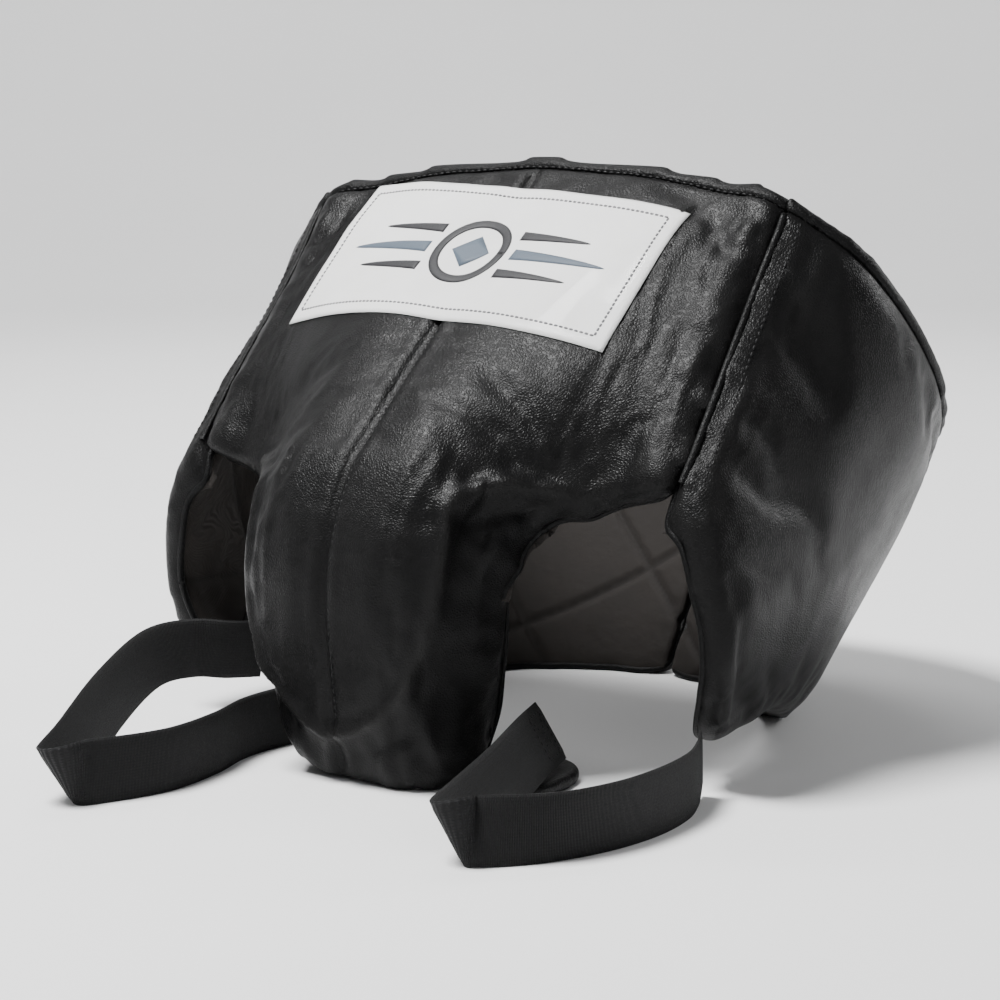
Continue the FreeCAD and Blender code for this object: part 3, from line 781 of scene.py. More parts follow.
def detail_front(mesh, inner):
    """Seams, ridges, folds and creases of the front, as moves along the surface's normals."""
    points = coords(mesh)
    worn = to_worn(points)
    x, _, up = worn.T
    out = normals(mesh)
    leather_side = 1.0 - inner.astype(float)
    ahead = leather_side * np.clip(-(out[:, 1] * COS - out[:, 2] * SIN) * 1.6, 0, 1)
    in_cup = smooth_step((CUP_TOP + 6 * MM - up) / (12 * MM))
    rim_gap = below_rim(worn)
    width = np.abs(x)
    fold = fold_gap(worn)
    fades = ramp(width, 84, -14)
    move = np.zeros(len(points))
    # centre seam: a groove between two soft rolls
    groove = 0.7 * MM * bell(width - 5 * MM, 3 * MM) - 1.9 * MM * bell(x, 1.5 * MM)
    move += ahead * ramp(rim_gap, 6, 7) * groove
    # the fold round the cup's front panel and over its shoulder, hollow below and outside it
    brow = ramp(up, 24, 14)
    roll = (3.0 + 1.2 * brow) * MM * bell(fold, (2.2 + 1.2 * brow) * MM)
    roll -= (2.4 + 2.4 * brow) * MM * bell(fold - (7.5 + 2 * brow) * MM, (4.5 + brow) * MM)
    move += leather_side * fades * roll * ramp(up, 84, -16)
    # a second, shorter fold under it
    along = up - 45.5 * MM - 0.95 * (width - 70 * MM)
    under = np.hypot(width - 70 * MM, 1.15 * along)
    move += leather_side * 1.9 * MM * bell(along, 2.4 * MM) * bell(under, 15 * MM)
    # rim seam, just below the rolled edge
    move -= ahead * 1.3 * MM * bell(rim_gap - 6.5 * MM, 1.3 * MM)
    # soft roll beside each side seam
    move += ahead * 1.6 * MM * bell(seam_distance(worn) - 11 * MM, 6 * MM) * (1 - in_cup)
    # long fine creases beside the label, running with the side seams, and pleats over the arches
    beside = ramp(width, 62, 22) * (x > 0) + 0.55 * ramp(width, 74, 20) * (x < 0)
    low = ramp(up, 66, 20) * ramp(rim_gap, 9, 10)
    lines = wrinkle(worn, 7 * MM, (1.0, 2.0, 5.0), 1.0)
    move += ahead * beside * low * 0.95 * MM * (lines - 0.55)
    over_arch = up - arch_height(x)
    pleat_zone = (ramp(width, 48, 20) * ramp(width, 112, -16) * ramp(over_arch, 4, 8)
                  * ramp(over_arch, 46, -26) * ramp(np.abs(fold), 5, 9))
    pleats = wrinkle(worn, 5.5 * MM, (1.0, 2.5, 7.0), 3.0)
    move += ahead * pleat_zone * 1.0 * MM * (pleats - 0.5)
    # broad slack folds of the belly leather
    slack = slackness(worn, 38 * MM, (1.0, 1.5, 1.4), 5.0)
    free = ramp(rim_gap, 9, 8)
    move += ahead * free * 0.8 * MM * slack * (1 - in_cup)
    # upright folds on the cup's front panel and its sides
    folds = wrinkle(worn, 12 * MM, (1.0, 3.0, 6.0), 8.0)
    move += leather_side * in_cup * 1.5 * MM * (folds - 0.6) * ramp(width, 14, 12)
    # stitched channels of the lining
    quilt = quilt_distance(worn, -1)
    lined_side = inner.astype(float) * (1 - in_cup)
    move -= lined_side * free * 1.6 * MM * bell(quilt, 1.7 * MM)
    paint(mesh, "seam", bell(quilt, 1.5 * MM) * inner)
    # painted highlight: a lighter tint along the cup's fold ridge and on the crease ridges beside the label
    paint(mesh, "ridge_highlight", np.clip(bell(fold, 1.8 * MM) * fades + 0.5 * lines * beside, 0, 1))
    points = points + out * move[:, None]
    # the pouch rests on its left side, and its right corner rounds up off the floor
    lean = np.clip((-points[:, 0] - 6 * MM) / (40 * MM), 0, 1) ** 1.6
    lean *= ramp(points[:, 2], 52, -50) * ramp(width, 90, -30)
    points[:, 2] += 21 * MM * lean
    points[:, 0] += 8 * MM * lean
    set_coords(mesh, points)


def fill_hip(mesh, sign):
    """The hip's fullness: the wing's side leans outwards below the rim."""
    worn = to_worn(coords(mesh))
    x, back, _ = worn.T
    gap = below_rim(worn)
    turn = np.arctan2(sign * x, back + 10 * MM)
    share = bell(turn - math.radians(94), math.radians(27)) * ramp(gap, 105, -105)
    share *= ramp(seam_line(sign)(worn), 3, 30)
    moved = worn.copy()
    moved[:, 0] += sign * np.sin(turn) * share * 10 * MM
    moved[:, 1] += np.cos(turn) * share * 10 * MM
    moved[:, 2] = rim_height(moved[:, 0], moved[:, 1]) - gap
    set_coords(mesh, to_row(moved))


WING_PARTS = ("leather", "foam_pad", "lining", "hem_facing")


def hold_wing(sign, points, inner, edge):
    """Pins of a wing, 1 where it is sewn down, and how far each point may swell."""
    worn = to_worn(points)
    x, back, _ = worn.T
    under_closure = (np.abs(x) < 80 * MM) & (back > 60 * MM)
    pin = np.maximum.reduce([
        bell(seam_line(sign)(worn), 7 * MM), bell(below_rim(worn), 13 * MM), bell(edge, 6 * MM),
        bell(x, 8 * MM) * (back > 0), (points[:, 2] < 5 * MM) * 1.0, under_closure * 0.8,
        bell(quilt_distance(worn), 3 * MM) * inner])
    return pin, np.where(inner, 3.5 * MM, 5.5 * MM)


def build_wing(side):
    """One padded wing."""
    sign = SIDES[side]
    names = {part: f"{side}_wing_{part}" for part in WING_PARTS}
    ends = [(seam_line(sign), (sign / math.sqrt(2), 1 / math.sqrt(2), 0)),
            (lambda worn: np.where(worn[:, 1] > 0, sign * worn[:, 0] - BACK_GAP / 2, 1.0),
             (sign, 0, 0), -1000)]

    def finish(mesh, inner):
        detail_wing(mesh, inner, sign)
        fill_hip(mesh, sign)

    return padded_form(f"{side}_wing_padding", list(names.values()),
                       ([names["leather"]], [names["hem_facing"]], [names["lining"]]),
                       lambda *about: hold_wing(sign, *about), ends, finish)


def detail_wing(mesh, inner, sign):
    """Seams, quilting and creases of a wing."""
    points = coords(mesh)
    worn = to_worn(points)
    x, back, _ = worn.T
    out = normals(mesh)
    leather_side = 1.0 - inner.astype(float)
    rim_gap = below_rim(worn)
    seam_gap = np.abs(seam_line(sign)(worn))
    clear = 1.0 - ((np.abs(x) < 76 * MM) & (back > 60 * MM))
    quilt = quilt_distance(worn)
    lines = wrinkle(worn, 10 * MM, (2.0, 1.0, 4.0), 11.0 + sign)
    slack = slackness(worn, 34 * MM, (1.0, 1.0, 2.2), 15.0 + sign)
    near_seam = ramp(seam_gap, 44, -36)
    near_rim = ramp(rim_gap, 34, -26)
    free = ramp(rim_gap, 9, 8)
    move = -leather_side * 1.3 * MM * bell(rim_gap - 6.5 * MM, 1.3 * MM)
    move += leather_side * clear * free * 0.55 * MM * (lines - 0.55) * np.maximum(near_seam, near_rim)
    move += leather_side * clear * free * 0.9 * MM * slack
    move -= inner * free * 1.6 * MM * bell(quilt, 1.7 * MM)
    paint(mesh, "seam", bell(quilt, 1.5 * MM) * inner)
    # painted highlight: a lighter tint on the crease ridges near the side seam
    paint(mesh, "ridge_highlight", 0.4 * lines * near_seam)
    set_coords(mesh, points + out * move[:, None])


front, front_lined = build_front()
wings = {side: build_wing(side) for side in SIDES}


# ------------------------------------------------------------------- finding places on the skin
FRONT_SKIN = tree_of([front])
WING_SKIN = {side: tree_of([wings[side][0]]) for side in SIDES}
ALL_SKIN = tree_of([front, wings["left"][0], wings["right"][0]])
AHEAD, BEHIND = (0.0, 1.0, 0.0), (0.0, -1.0, 0.0)
# Rays start this far off, outside the guard.
FAR = 300 * MM
# Half the width over which the closure is carried straight across the gap at the back.
BRIDGE = 9 * MM
# A step longer than this along a path means that a ray went past the skin's edge.
STRAY = 16 * MM


def cast(tree, start, direction):
    """Where a worn ray first meets the skin, and the skin's normal there, in the frame."""
    origin = Vector(to_row(start)[0])
    place, normal, _, _ = tree.ray_cast(origin, turn_to_row(direction))
    return (None, None) if place is None else (np.array(place), np.array(normal))


def on_front(x, up, tree=ALL_SKIN):
    return cast(tree, (x, -FAR, up), AHEAD)


def on_back(x, up):
    """A place on the back, carried straight across the gap between the wings."""
    if abs(x) >= BRIDGE:
        return cast(ALL_SKIN, (x, FAR, up), BEHIND)
    (a, m), (b, n) = (cast(ALL_SKIN, (edge, FAR, up), BEHIND) for edge in (-BRIDGE, BRIDGE))
    share = (x + BRIDGE) / (2 * BRIDGE)
    return a * (1 - share) + b * share, m * (1 - share) + n * share


def round_the_waist(angle, depth, tree):
    """A place at a depth below the rim, at an angle round the waist from 0 at the back."""
    up = RIM_FRONT - 20 * MM
    out = (math.sin(angle), math.cos(angle), 0.0)
    for _ in range(3):
        origin = (out[0] * FAR, 10 * MM + out[1] * FAR, up)
        place, normal = cast(tree, origin, (-out[0], -out[1], 0.0))
        if place is None:
            return None, None
        worn = to_worn(place)[0]
        up = rim_height(worn[0], worn[1]) - depth
    return place, normal


def path_of(pairs, spacing=1.6 * MM, smooth=4):
    """A smooth, evenly spaced path and its normals from the longest unbroken run of places."""
    runs = [[]]
    for place, normal in pairs:
        if place is None:
            continue
        if runs[-1] and np.linalg.norm(place - runs[-1][-1][0]) > STRAY:
            runs.append([])
        runs[-1].append((place, normal))
    places, ups = (np.array(field) for field in zip(*max(runs, key=len)))
    for _ in range(smooth):
        soften(places)
        soften(ups)
    run = run_of(places)
    where = np.linspace(0, run[-1], max(int(run[-1] / spacing), 2) + 1)
    return read_at(where, run, places), unit(read_at(where, run, ups))


def drape(name, grid, thickness, lift, material, edge, smooth):
    """A patch laid on the skin: grid is rows of (place, normal); closed, with rounded edges."""
    rows, columns = len(grid), len(grid[0])
    places, ups = (np.array([[pair[k] for pair in row] for row in grid]) for k in (0, 1))
    for _ in range(smooth):
        for field in (places, ups):
            soften(field)
            soften(field.swapaxes(0, 1))
    ups = unit(ups)
    wide = np.linalg.norm(places[:, 1:] - places[:, :-1], axis=2).mean()
    high = np.linalg.norm(places[1:] - places[:-1], axis=2).mean()
    i, j = np.meshgrid(np.arange(rows), np.arange(columns), indexing="ij")
    rim = np.minimum(np.minimum(i, rows - 1 - i) * high, np.minimum(j, columns - 1 - j) * wide)
    crown = np.sqrt(1 - (1 - np.clip(rim / edge, 0, 1)) ** 2)
    top = places + ups * (lift + thickness * (0.25 + 0.75 * crown))[:, :, None]
    bottom = places + ups * (lift - 0.1 * MM)
    count = rows * columns
    faces = []
    for a in range(rows - 1):
        for b in range(columns - 1):
            k = a * columns + b
            faces.append((k, k + 1, k + columns + 1, k + columns))
            faces.append((count + k, count + k + columns, count + k + columns + 1, count + k + 1))
    ring = [*range(columns), *(a * columns + columns - 1 for a in range(1, rows)),
            *range(count - 2, count - 1 - columns, -1), *(a * columns for a in range(rows - 2, 0, -1))]
    faces += [(v, count + v, count + w, w) for v, w in zip(ring, ring[1:] + ring[:1])]
    mesh = mesh_from(name, np.vstack([top.reshape(-1, 3), bottom.reshape(-1, 3)]), faces)
    set_uv(mesh, np.tile(np.stack([j * wide, i * high], 2).reshape(-1, 2), (2, 1)))
    fix_normals(mesh)
    return new_object(name, mesh, material), places, ups


def fix_normals(mesh):
    """Turn all faces outwards."""
    bm = bmesh.new()
    bm.from_mesh(mesh)
    bmesh.ops.recalc_face_normals(bm, faces=bm.faces)
    bm.to_mesh(mesh)
    bm.free()


# ----------------------------------------------------------------------------- joints of cloth
def beside_joint(side):
    """Where a wing starts and ends its bend at the side seam, in the frame."""
    sign = SIDES[side]
    start = to_row((sign * 122 * MM, -97 * MM, 110 * MM))[0]
    end = to_row((sign * 146 * MM, -56 * MM, 110 * MM))[0]
    return tuple(start), tuple(end)


def follow_wing(obj, side):
    """The piece keeps to the front at the side seam and turns with the wing behind it."""
    start, end = beside_joint(side)
    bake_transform(obj, "front", f"{side}_wing", start=start, end=end)


def attach(obj, part):
    """The piece rides on the front, or bends with a wing at its side seam."""
    if part == "front":
        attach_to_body(obj, "front")
    else:
        follow_wing(obj, part)


# ------------------------------------------------------------------------------ rim binding
def rim_binding(part, form, node):
    """The folded binding over the rim, lifted off a finished form's own surface."""
    depth, fold, height, sink = 6.8 * MM, 1.5 * MM, 0.95 * MM, 0.05 * MM
    mesh = form.data.copy()
    gap = split_at(mesh, below_rim(to_worn(coords(mesh))), depth)
    gap = split_at(mesh, gap, depth - 1.4 * MM)
    spare = face_means(mesh, gap) >= depth
    bm = bmesh.new()
    bm.from_mesh(mesh)
    bm.faces.ensure_lookup_table()
    bmesh.ops.delete(bm, geom=[f for f, drop in zip(bm.faces, spare) if drop], context="FACES")
    bm.normal_update()
    bm.to_mesh(mesh)
    bm.free()
    points = coords(mesh)
    share = np.clip((depth - below_rim(to_worn(points))) / fold, 0, 1)
    rise = height * np.sqrt(1 - (1 - share) ** 2) - sink
    set_coords(mesh, points + normals(mesh) * rise[:, None])
    mesh.materials.clear()
    binding = new_object(f"rim_binding_{part}", mesh, TRIM)
    solid = binding.modifiers.new("Solidify", "SOLIDIFY")
    solid.thickness = 0.8 * MM
    solid.offset = -1
    bake(binding)
    binding.data.polygons.foreach_set("material_index", [0] * len(binding.data.polygons))
    shade_smooth(binding.data)
    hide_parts(node)
    attach(binding, part)


DIAGONAL = 0.7071
# Rays to a side seam start this far outside it.
SEAM_RAY = 60 * MM


def seam_span(side):
    """Pairs along a side seam, bridging its groove: each the mean of a place on either side."""
    sign = SIDES[side]
    out = (sign * DIAGONAL, -DIAGONAL, 0.0)
    pairs = []
    for up in np.arange(68 * MM, 196 * MM, 3 * MM):
        around = []
        for offset in (-4.5 * MM, 4.5 * MM):
            origin = (sign * (SEAM_X + DIAGONAL * (offset + SEAM_RAY)),
                      -98 * MM + DIAGONAL * (offset - SEAM_RAY), up)
            around.append(cast(ALL_SKIN, origin, (-out[0], -out[1], 0.0)))
        if all(p is not None for p, _ in around):
            pairs.append(tuple(sum(both) / 2 for both in zip(*around)))
    return pairs


def side_seam(side):
    """The welt of a side seam with a row of stitches on the wing's side."""
    path, ups = path_of(seam_span(side))
    bead = sweep(f"side_seam_welt_{side}_soft", path, ups, round_profile(1.5 * MM, 1.3 * MM, 0.5 * MM), TRIM)
    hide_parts(f"side_seam_welt_{side}")
    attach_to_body(bead, "front")
    sign = SIDES[side]
    places = [cast(WING_SKIN[side], (sign * (SEAM_X + SEAM_RAY), -88 * MM - SEAM_RAY, up),
                   (-sign * DIAGONAL, DIAGONAL, 0.0)) for up in np.arange(70 * MM, 194 * MM, 3 * MM)]
    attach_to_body(stitch_row(f"side_seam_stitches_{side}", places), "front")


def centre_seam():
    """A row of stitches beside the front's middle seam."""
    places = [on_front(2.9 * MM, up) for up in np.arange(-44 * MM, 206 * MM, 3 * MM)]
    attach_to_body(stitch_row("centre_seam_stitches", places, radius=0.3 * MM), "front")


def rim_stitches():
    """Stitches in the rim's seam, all the way round."""
    edge = 2.26
    arcs = {"front": (math.pi - 0.86, math.pi + 0.86), "left": (0.03, edge), "right": (-edge, -0.03)}
    for part, (first, last) in arcs.items():
        tree = FRONT_SKIN if part == "front" else WING_SKIN[part]
        places = [round_the_waist(turn, 6.2 * MM, tree) for turn in np.linspace(first, last, 120)]
        attach(stitch_row(f"rim_stitches_{part}", places, lift=0.75 * MM), part)


def edge_piping(part, form, lined_faces):
    """A rolled piping where the leather's edge meets the lining, away from the rim."""
    name, fewest, jump = f"edge_piping_{part}", 12, 8 * MM
    points, out = coords(form.data), normals(form.data)
    pieces = []
    for chain in border_lines(form.data, lined_faces):
        pairs = [(points[v], out[v]) for v in chain if away_from_rim(to_worn(points[v]))]
        cuts = [k for k in range(1, len(pairs)) if np.linalg.norm(pairs[k - 1][0] - pairs[k][0]) > jump]
        for low, high in zip([0] + cuts, cuts + [len(pairs)]):
            if high - low < fewest:
                continue
            path, ups = path_of(pairs[low:high], 1.8 * MM, 12)
            pieces.append(sweep(f"{name}_{len(pieces)}", path, ups,
                                round_profile(1.5 * MM, 1.5 * MM, 0.4 * MM), TRIM))
    piping = join(name, pieces)
    shade_smooth(piping.data)
    attach(piping, part)


def away_from_rim(worn):
    return below_rim(worn)[0] > 12 * MM


# ------------------------------------------------------------------------------- the patch
# Half width and height, as worn and in millimetres, of the patch's corners.
LABEL_CORNERS = ((-91.6, 122.0), (75.4, 112.9), (81.4, 186.8), (-86.4, 201.7))


def label_place(u, v):
    """Half width and height, as worn, of a place on the patch; u and v run from 0 to 1."""
    (ax, az), (bx, bz), (cx, cz), (dx, dz) = LABEL_CORNERS
    x = (ax * (1 - u) + bx * u) * (1 - v) + (dx * (1 - u) + cx * u) * v
    up = (az * (1 - u) + bz * u) * (1 - v) + (dz * (1 - u) + cz * u) * v
    return x * MM, up * MM


def label():
    """The white patch, its border stitches and its emblem."""
    columns, rows = 84, 40
    grid = [[on_front(*label_place(u, v), FRONT_SKIN) for u in np.linspace(0, 1, columns)]
            for v in np.linspace(0, 1, rows)]
    patch, places, ups = drape("white_label_patch", grid, 0.7 * MM, 0.5 * MM, LABEL, 0.8 * MM, 14)
    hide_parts("label_patch")
    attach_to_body(patch, "front")
    face = places + ups * 1.2 * MM

    def on_label(u, v):
        """A place on the patch's face and its normal; u and v run from 0 to 1."""
        i, j = v * (rows - 1), u * (columns - 1)
        a, b = min(int(i), rows - 2), min(int(j), columns - 2)
        s, t = i - a, j - b
        return [(f[a, b] * (1 - t) + f[a, b + 1] * t) * (1 - s)
                + (f[a + 1, b] * (1 - t) + f[a + 1, b + 1] * t) * s for f in (face, ups)]

    left, low = 0.034, 0.075
    corners = [(left, low), (1 - left, low), (1 - left, 1 - low), (left, 1 - low)]
    rows_of_thread = []
    for index, ((u, v), (to_u, to_v)) in enumerate(zip(corners, corners[1:] + corners[:1])):
        pairs = [on_label(u + (to_u - u) * t, v + (to_v - v) * t) for t in np.linspace(0, 1, 60)]
        rows_of_thread.append(stitches(f"label_row_{index}", *path_of(pairs, smooth=0), GREY_THREAD,
                                       2.2 * MM, 2.0 * MM, 0.42 * MM))
    border = join("label_border_stitches", rows_of_thread)
    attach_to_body(border, "front")
    emblem(on_label)


def emblem(on_label):
    """A plain embroidered device: a ring round a lozenge between tapering bars."""
    width, height = 167.0, 76.0

    def stripe(name, line, half, material):
        """A raised stripe along line, (u, v) in mm from the patch's middle, of half width half(t)."""
        points = np.array(line, float)
        along = unit(np.gradient(points, axis=0))
        across = np.stack([-along[:, 1], along[:, 0]], 1)
        halves = np.array([half(k / (len(line) - 1)) for k in range(len(line))])[:, None]
        grid = [[on_label(0.5 + u / width, 0.5 + v / height) for u, v in points + across * halves * side]
                for side in np.linspace(-1, 1, 5)]
        return drape(name, grid, 0.32 * MM, 0.0, material, 0.5 * MM, 0)[0]

    ring = [(16 * math.cos(a), 16 * math.sin(a)) for a in np.linspace(0, 2 * math.pi, 65)]
    lozenge = [(x, 0.0) for x in np.linspace(-9.5, 9.5, 17)]
    made = [stripe("ring", ring, lambda t: 2.1, DARK_PRINT),
            stripe("lozenge", lozenge, lambda t: 0.05 + 9 * (1 - abs(2 * t - 1)), BLUE_PRINT)]
    # height, where the bar starts and ends, half width and colour
    bars = ((11, 20.0, 54, 2.4, DARK_PRINT), (0.0, 22.0, 66, 3.0, BLUE_PRINT),
            (-11, 20.0, 54, 2.4, DARK_PRINT))
    for sign in (-1, 1):
        for level, near, reach, thick, material in bars:
            line = [(sign * x, level) for x in np.linspace(near, reach, 24)]
            made.append(stripe(f"bar_{sign}_{level}", line,
                               lambda t, thick=thick: thick * (1 - t) ** 0.6 + 0.12, material))
    device = join("label_embroidery", made)
    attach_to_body(device, "front")


# ------------------------------------------------------------------------------ the closure
def back_patch(name, across, upwards, cells, *finish):
    """A patch laid on the back: its span across and upwards as worn, in mm, and its grid."""
    grid = [[on_back(x * MM, up * MM) for x in np.linspace(*across, cells[0])]
            for up in np.linspace(*upwards, cells[1])]
    return drape(name, grid, *finish)


def closure():
    """The hook-and-loop strap across the back, its pads and its stitching."""
    strap, places, ups = back_patch("closure_band", (-66, 46), (122, 164), (60, 22),
                                    1.7 * MM, 1.9 * MM, WEB, 0.9 * MM, 8)
    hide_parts("closure_strap", "closure_anchor")
    top = places + ups * 3.6 * MM
    # rows and columns of the band's grid that the box and the two edge rows run along
    box = ([(a, 3) for a in range(2, 20)] + [(19, b) for b in range(3, 16)]
           + [(a, 16) for a in range(19, 1, -1)] + [(2, b) for b in range(16, 2, -1)])
    seams = [("closure_box_stitches", box, "right_wing")]
    seams += [(f"closure_edge_stitches_{a}", [(a, b) for b in range(20, 58)], "closure") for a in (2, 19)]
    for name, cells, body in seams:
        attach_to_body(stitch_row(name, [(top[cell], ups[cell]) for cell in cells], smooth=0), body)
    fold = to_row((-30 * MM, 125 * MM, 143 * MM))[0]
    reach = np.array([5 * MM, 0, 0])
    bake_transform(strap, "right_wing", "closure", start=tuple(fold - reach), end=tuple(fold + reach))
    under = back_patch("closure_base", (-66, -31), (122.5, 163.5), (18, 20),
                       1.75 * MM, 0.1 * MM, WEB, 0.6 * MM, 6)[0]
    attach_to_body(under, "right_wing")
    tab = back_patch("closure_tab", (43, 61), (125, 161), (14, 20), 1.5 * MM, 2.0 * MM, TRIM, 1.2 * MM, 6)[0]
    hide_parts("closure_pull_tab")
    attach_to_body(tab, "closure")
    loop = back_patch("closure_loop_pad", (6, 52), (121, 165), (26, 24), 0.9 * MM, 0.0, LOOP, 0.8 * MM, 6)[0]
    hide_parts("loop_patch")
    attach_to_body(loop, "left_wing")
    finish_node("hook_patch", HOOK)


def finish_node(name, material):
    """Give a CAD node that stays in view a better material."""
    NODES[name].data.materials.clear()
    NODES[name].data.materials.append(material)


# ------------------------------------------------------------------------------ leg straps
UPRIGHT = (0.0, 0.0, 1.0)
STRAP_WIDTH = 25 * MM
# Lower edge in millimetres, on the floor's axes, and direction of the width, station by station.
STRAPS = {
    "right": (
        ((-111, -13, 14), UPRIGHT), ((-112, -34, 17), UPRIGHT), ((-115, -51, 20), (-0.1, -0.1, 1.0)),
        ((-113, -75, 20), (-0.2, -0.15, 1.0)), ((-95, -116, 13), (-0.3, -0.2, 1.0)),
        ((-74, -154, 4), (-0.4, -0.25, 0.9)), ((-64, -173, 0), (-0.45, -0.3, 0.85)),
        ((-58, -176, 0), (-0.3, -0.25, 0.9)), ((-53, -168, 0), (-0.1, -0.1, 1.0)),
        ((-45, -142, 0), UPRIGHT), ((-48, -112, 0), UPRIGHT), ((-55.5, -87, 0), UPRIGHT),
        ((-57, -67, 0), UPRIGHT), ((-54.5, -51, 0), UPRIGHT), ((-46, -42, 0), UPRIGHT),
        ((-28, -39, 0), UPRIGHT), ((-10, -39.5, 0), UPRIGHT), ((12, -43, 0), UPRIGHT)),
    "left": (
        ((127, -31, 2), UPRIGHT), ((133, -43, 0), UPRIGHT), ((140, -61, 0), UPRIGHT),
        ((143, -85, 0), UPRIGHT), ((140, -111, 0), (0.05, 0.0, 1.0)),
        ((131, -135, 0), (0.05, 0.0, 1.0)), ((118, -153, 0), (-0.2, 0.0, 1.0)),
        ((111, -158, 0), (-0.5, 0.05, 0.87)), ((106, -152, 0), (-0.5, -0.1, 0.87)),
        ((99, -130, 1), (-0.4, -0.4, 0.83)), ((89, -97, 3.5), (-0.3, -0.55, 0.8)),
        ((79, -66, 6.8), (-0.22, -0.65, 0.75)), ((70, -39, 8), (-0.18, -0.71, 0.68))),
}


def smooth_through(points, steps=10):
    """A smooth curve through points, as an array."""
    p = np.array(points, float)
    p = np.vstack([2 * p[0] - p[1], p, 2 * p[-1] - p[-2]])
    out = []
    for a, b, c, d in zip(p, p[1:], p[2:], p[3:]):
        for t in np.arange(steps) / steps:
            out.append(0.5 * (2 * b + (c - a) * t + (2 * a - 5 * b + 4 * c - d) * t * t
                              + (3 * b - a - 3 * c + d) * t ** 3))
    out.append(p[-2])
    return np.array(out)


def leg_strap(side):
    """A band of woven elastic with firm edges, and its lower edge, width and outward direction."""
    half, across = 0.8 * MM, 14
    low = smooth_through([place for place, _ in STRAPS[side]]) * MM
    wide = smooth_through([width for _, width in STRAPS[side]])
    low[:, 1] -= ORIGIN_BACK
    low[:, 2] = np.maximum(low[:, 2], 0)
    along = unit(np.gradient(low, axis=0))
    wide = unit(wide - along * (wide * along).sum(1)[:, None])
    off = np.cross(along, wide)
    shares = np.linspace(0, 1, across + 1)
    edge_gap = np.minimum(shares, 1 - shares) * STRAP_WIDTH
    # a groove just inside each edge, and thin selvedges
    thick = half * (1 - 0.35 * bell(edge_gap - 1.6 * MM, 0.7 * MM))
    thick[0] = thick[-1] = half * 0.45
    low[:, 2] += half * np.abs(off[:, 2]) + 0.1 * MM
    places = np.concatenate([shares, shares[::-1]])
    lifts = np.concatenate([thick, -thick[::-1]])
    rings = np.stack([low + wide * STRAP_WIDTH * share + off * lift
                      for share, lift in zip(places, lifts)], 1)
    count, n = rings.shape[:2]
    faces = tube_faces(count, n)
    for base, order in ((0, 1), ((count - 1) * n, -1)):
        for j in range(across):
            quad = (base + j, base + n - 1 - j, base + n - 2 - j, base + j + 1)
            faces.append(quad[::order])
    mesh = mesh_from(f"elastic_strap_{side}", rings.reshape(-1, 3), faces)
    fix_normals(mesh)
    ring_uv(mesh, places, run_of(low))
    strap = new_object(f"elastic_strap_{side}", mesh, WEB)
    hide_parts(f"leg_strap_{side}")
    return strap, low, wide, off


def straps():
    """Both leg straps: their outer ends bend with the wings, the rest stays with the front."""
    for side, sign in SIDES.items():
        strap, low, wide, off = leg_strap(side)
        start = np.array(low[0]) + wide[0] * 12 * MM
        end = start + np.array([-sign * 33 * MM, -20 * MM, 0])
        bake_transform(strap, f"{side}_wing", "front", start=tuple(start), end=tuple(end))
        if side == "left":
            box_stitch(low[::-1], wide[::-1], off[::-1])


def box_stitch(low, wide, off):
    """A square of stitches with a cross on both faces, where a strap that is given from its end
    is sewn down."""
    corners = [(1, 0.14), (6, 0.14), (6, 0.86), (1, 0.86)]
    lines = [*zip(corners, corners[1:] + corners[:1]), (corners[0], corners[2]), (corners[1], corners[3])]
    rows = []
    for sign in (1.0, -1.0):
        for index, ((a, s), (b, t)) in enumerate(lines):
            pairs = []
            for share in np.linspace(0, 1, 12):
                along = a + (b - a) * share
                whole, near = int(along), int(round(along))
                edge = low[whole] + (low[whole + 1] - low[whole]) * (along - whole)
                place = edge + wide[near] * STRAP_WIDTH * (s + (t - s) * share)
                up = -off[near] * sign
                pairs.append((place + up * 0.85 * MM, up))
            rows.append(stitches(f"box_{sign}_{index}", *path_of(pairs, smooth=0), THREAD,
                                 2.6 * MM, 2.0 * MM, 0.35 * MM))
    box = join("strap_box_stitches", rows)
    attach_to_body(box, "front")


def crotch_tab():
    """The folded leather tab on the floor behind the cup, rounded at its edges."""
    tab = voxel_union("crotch_tab_soft", ["crotch_tab"], 1.6 * MM, 5)
    subdivide(tab)
    tab.data.materials.append(TRIM)
    shade_smooth(tab.data)
    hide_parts("crotch_tab")
    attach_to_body(tab, "front")


def cad_trim():
    """Finishes for the CAD nodes that stay in view, and the ridge that the front's own fold replaces."""
    for name in ("strap_anchor_left", "strap_anchor_right"):
        finish_node(name, WEB)
    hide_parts("cup_ridge_piping")


rim_binding("front", front, "belly_waist_binding")
for side in SIDES:
    rim_binding(side, wings[side][0], f"{side}_wing_waist_binding")
    side_seam(side)
    edge_piping(side, *wings[side])
edge_piping("front", front, front_lined)
centre_seam()
rim_stitches()
label()
closure()
straps()
crotch_tab()
cad_trim()


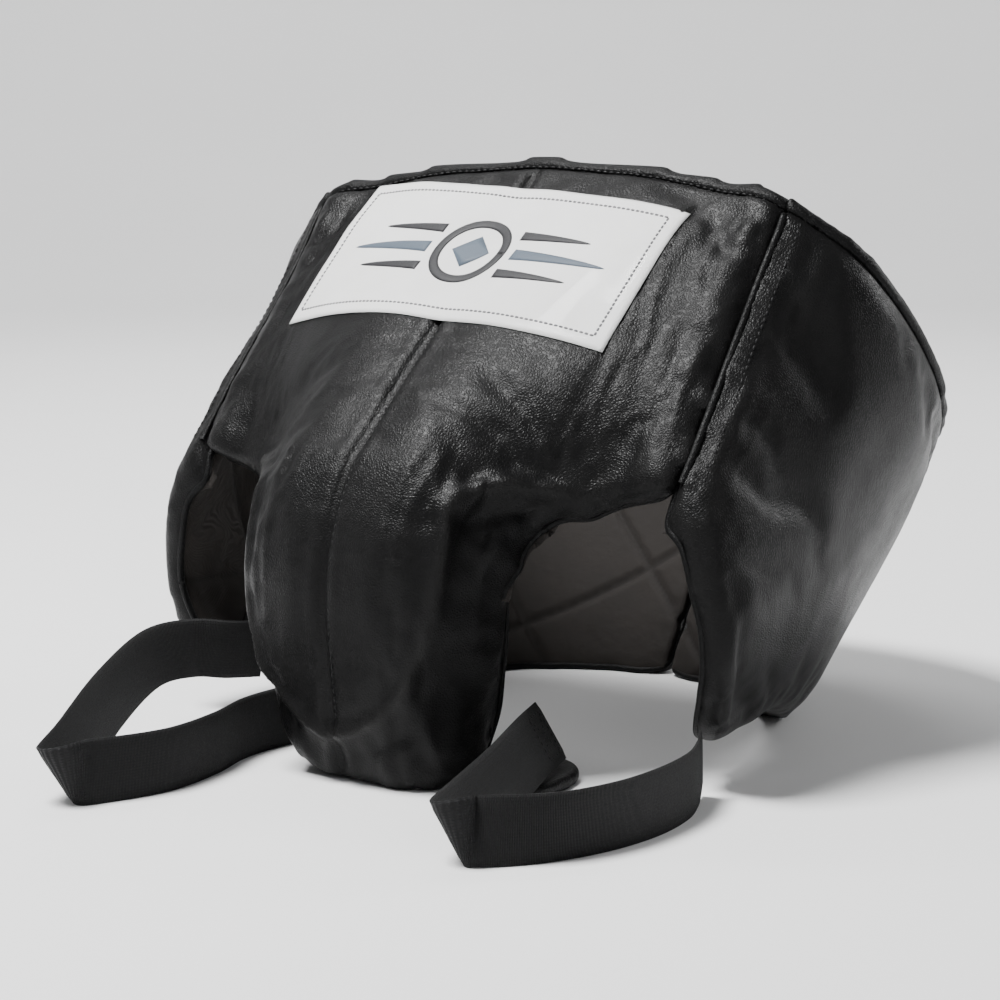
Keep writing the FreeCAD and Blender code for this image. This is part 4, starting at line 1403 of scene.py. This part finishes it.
# ------------------------------------------------------------------------------ stage
def stage():
    """A pale floor that curves up far behind."""
    floor_material = Nodes("pale_floor")
    grain = floor_material.noise(3.0, 4.0)
    tint = floor_material.colour(grain, (0.80, 0.80, 0.80), (0.84, 0.84, 0.84))
    floor_material.finish(tint, 0.75, grain, 0.0004)
    reach, rise, rings, spokes = 3.6, 2.6, 14, 96
    verts, faces = [(0.0, 0.0, 0.0)], []
    for i in range(1, rings + 1):
        t = i / rings
        radius = reach * min(t * 1.25, 1.0) + 0.6 * max(t - 0.8, 0)
        height = rise * max((t - 0.55) / 0.45, 0.0) ** 2.2
        verts += [(radius * math.cos(2 * math.pi * j / spokes),
                   radius * math.sin(2 * math.pi * j / spokes), height) for j in range(spokes)]
    faces += [(0, 1 + j, 1 + (j + 1) % spokes) for j in range(spokes)]
    faces += [face[::-1] for face in tube_faces(rings, spokes, 1)]
    new_object("studio_floor", mesh_from("studio_floor", verts, faces),
                        floor_material.material)


def lights():
    """A dim, even world and soft square lamps."""
    world = bpy.data.worlds.new("studio")
    bpy.context.scene.world = world
    world.use_nodes = True
    world.node_tree.nodes["Background"].inputs["Color"].default_value = (0.93, 0.95, 1.0, 1.0)
    world.node_tree.nodes["Background"].inputs["Strength"].default_value = 0.10
    guard, backdrop = (0.0, -0.02, 0.11), (-1.7, 2.3, 0.3)
    # name, place, size, power and what it is turned to
    lamps = (("overhead", (-0.34, -0.50, 1.50), 0.5, 64.0, guard),
             ("front", (1.25, -1.05, 1.0), 0.5, 3.0, guard),
             ("behind", (0.75, 1.5, 0.75), 0.6, 9.0, guard),
             ("left", (-1.5, -0.6, 0.6), 0.5, 1.2, guard),
             ("backdrop", (-0.9, 0.9, 1.9), 1.2, 60.0, backdrop))
    for name, place, size, power, target in lamps:
        data = bpy.data.lights.new(name, "AREA")
        data.shape = "SQUARE"
        data.size = size
        data.energy = power
        lamp = bpy.data.objects.new(name, data)
        lamp.location = place
        lamp.rotation_euler = (Vector(target) - Vector(place)).to_track_quat("-Z", "Y").to_euler()
        bpy.context.scene.collection.objects.link(lamp)


def camera():
    """The view from front left, a little above the rim of the floor."""
    azimuth, elevation, roll = math.radians(36.0), math.radians(8.3), math.radians(-0.3)
    back = Vector((math.sin(azimuth) * math.cos(elevation), -math.cos(azimuth) * math.cos(elevation),
                   math.sin(elevation)))
    right = Vector((math.cos(azimuth), math.sin(azimuth), 0))
    up = back.cross(right)
    right, up = (right * math.cos(roll) + up * math.sin(roll),
                 up * math.cos(roll) - right * math.sin(roll))
    data = bpy.data.cameras.new("camera")
    data.sensor_width = 36.0
    data.lens = 92.2
    data.clip_start = 0.05
    place = Vector((0, -ORIGIN_BACK, 0.116)) + right * 0.0087 - up * 0.0158 + back * 1.057
    cam = bpy.data.objects.new("camera", data)
    cam.matrix_world = Matrix((
        (right.x, up.x, back.x, place.x), (right.y, up.y, back.y, place.y),
        (right.z, up.z, back.z, place.z), (0, 0, 0, 1)))
    bpy.context.scene.collection.objects.link(cam)
    bpy.context.scene.camera = cam


stage()
lights()
camera()
for side in SIDES:
    follow_wing(wings[side][0], side)
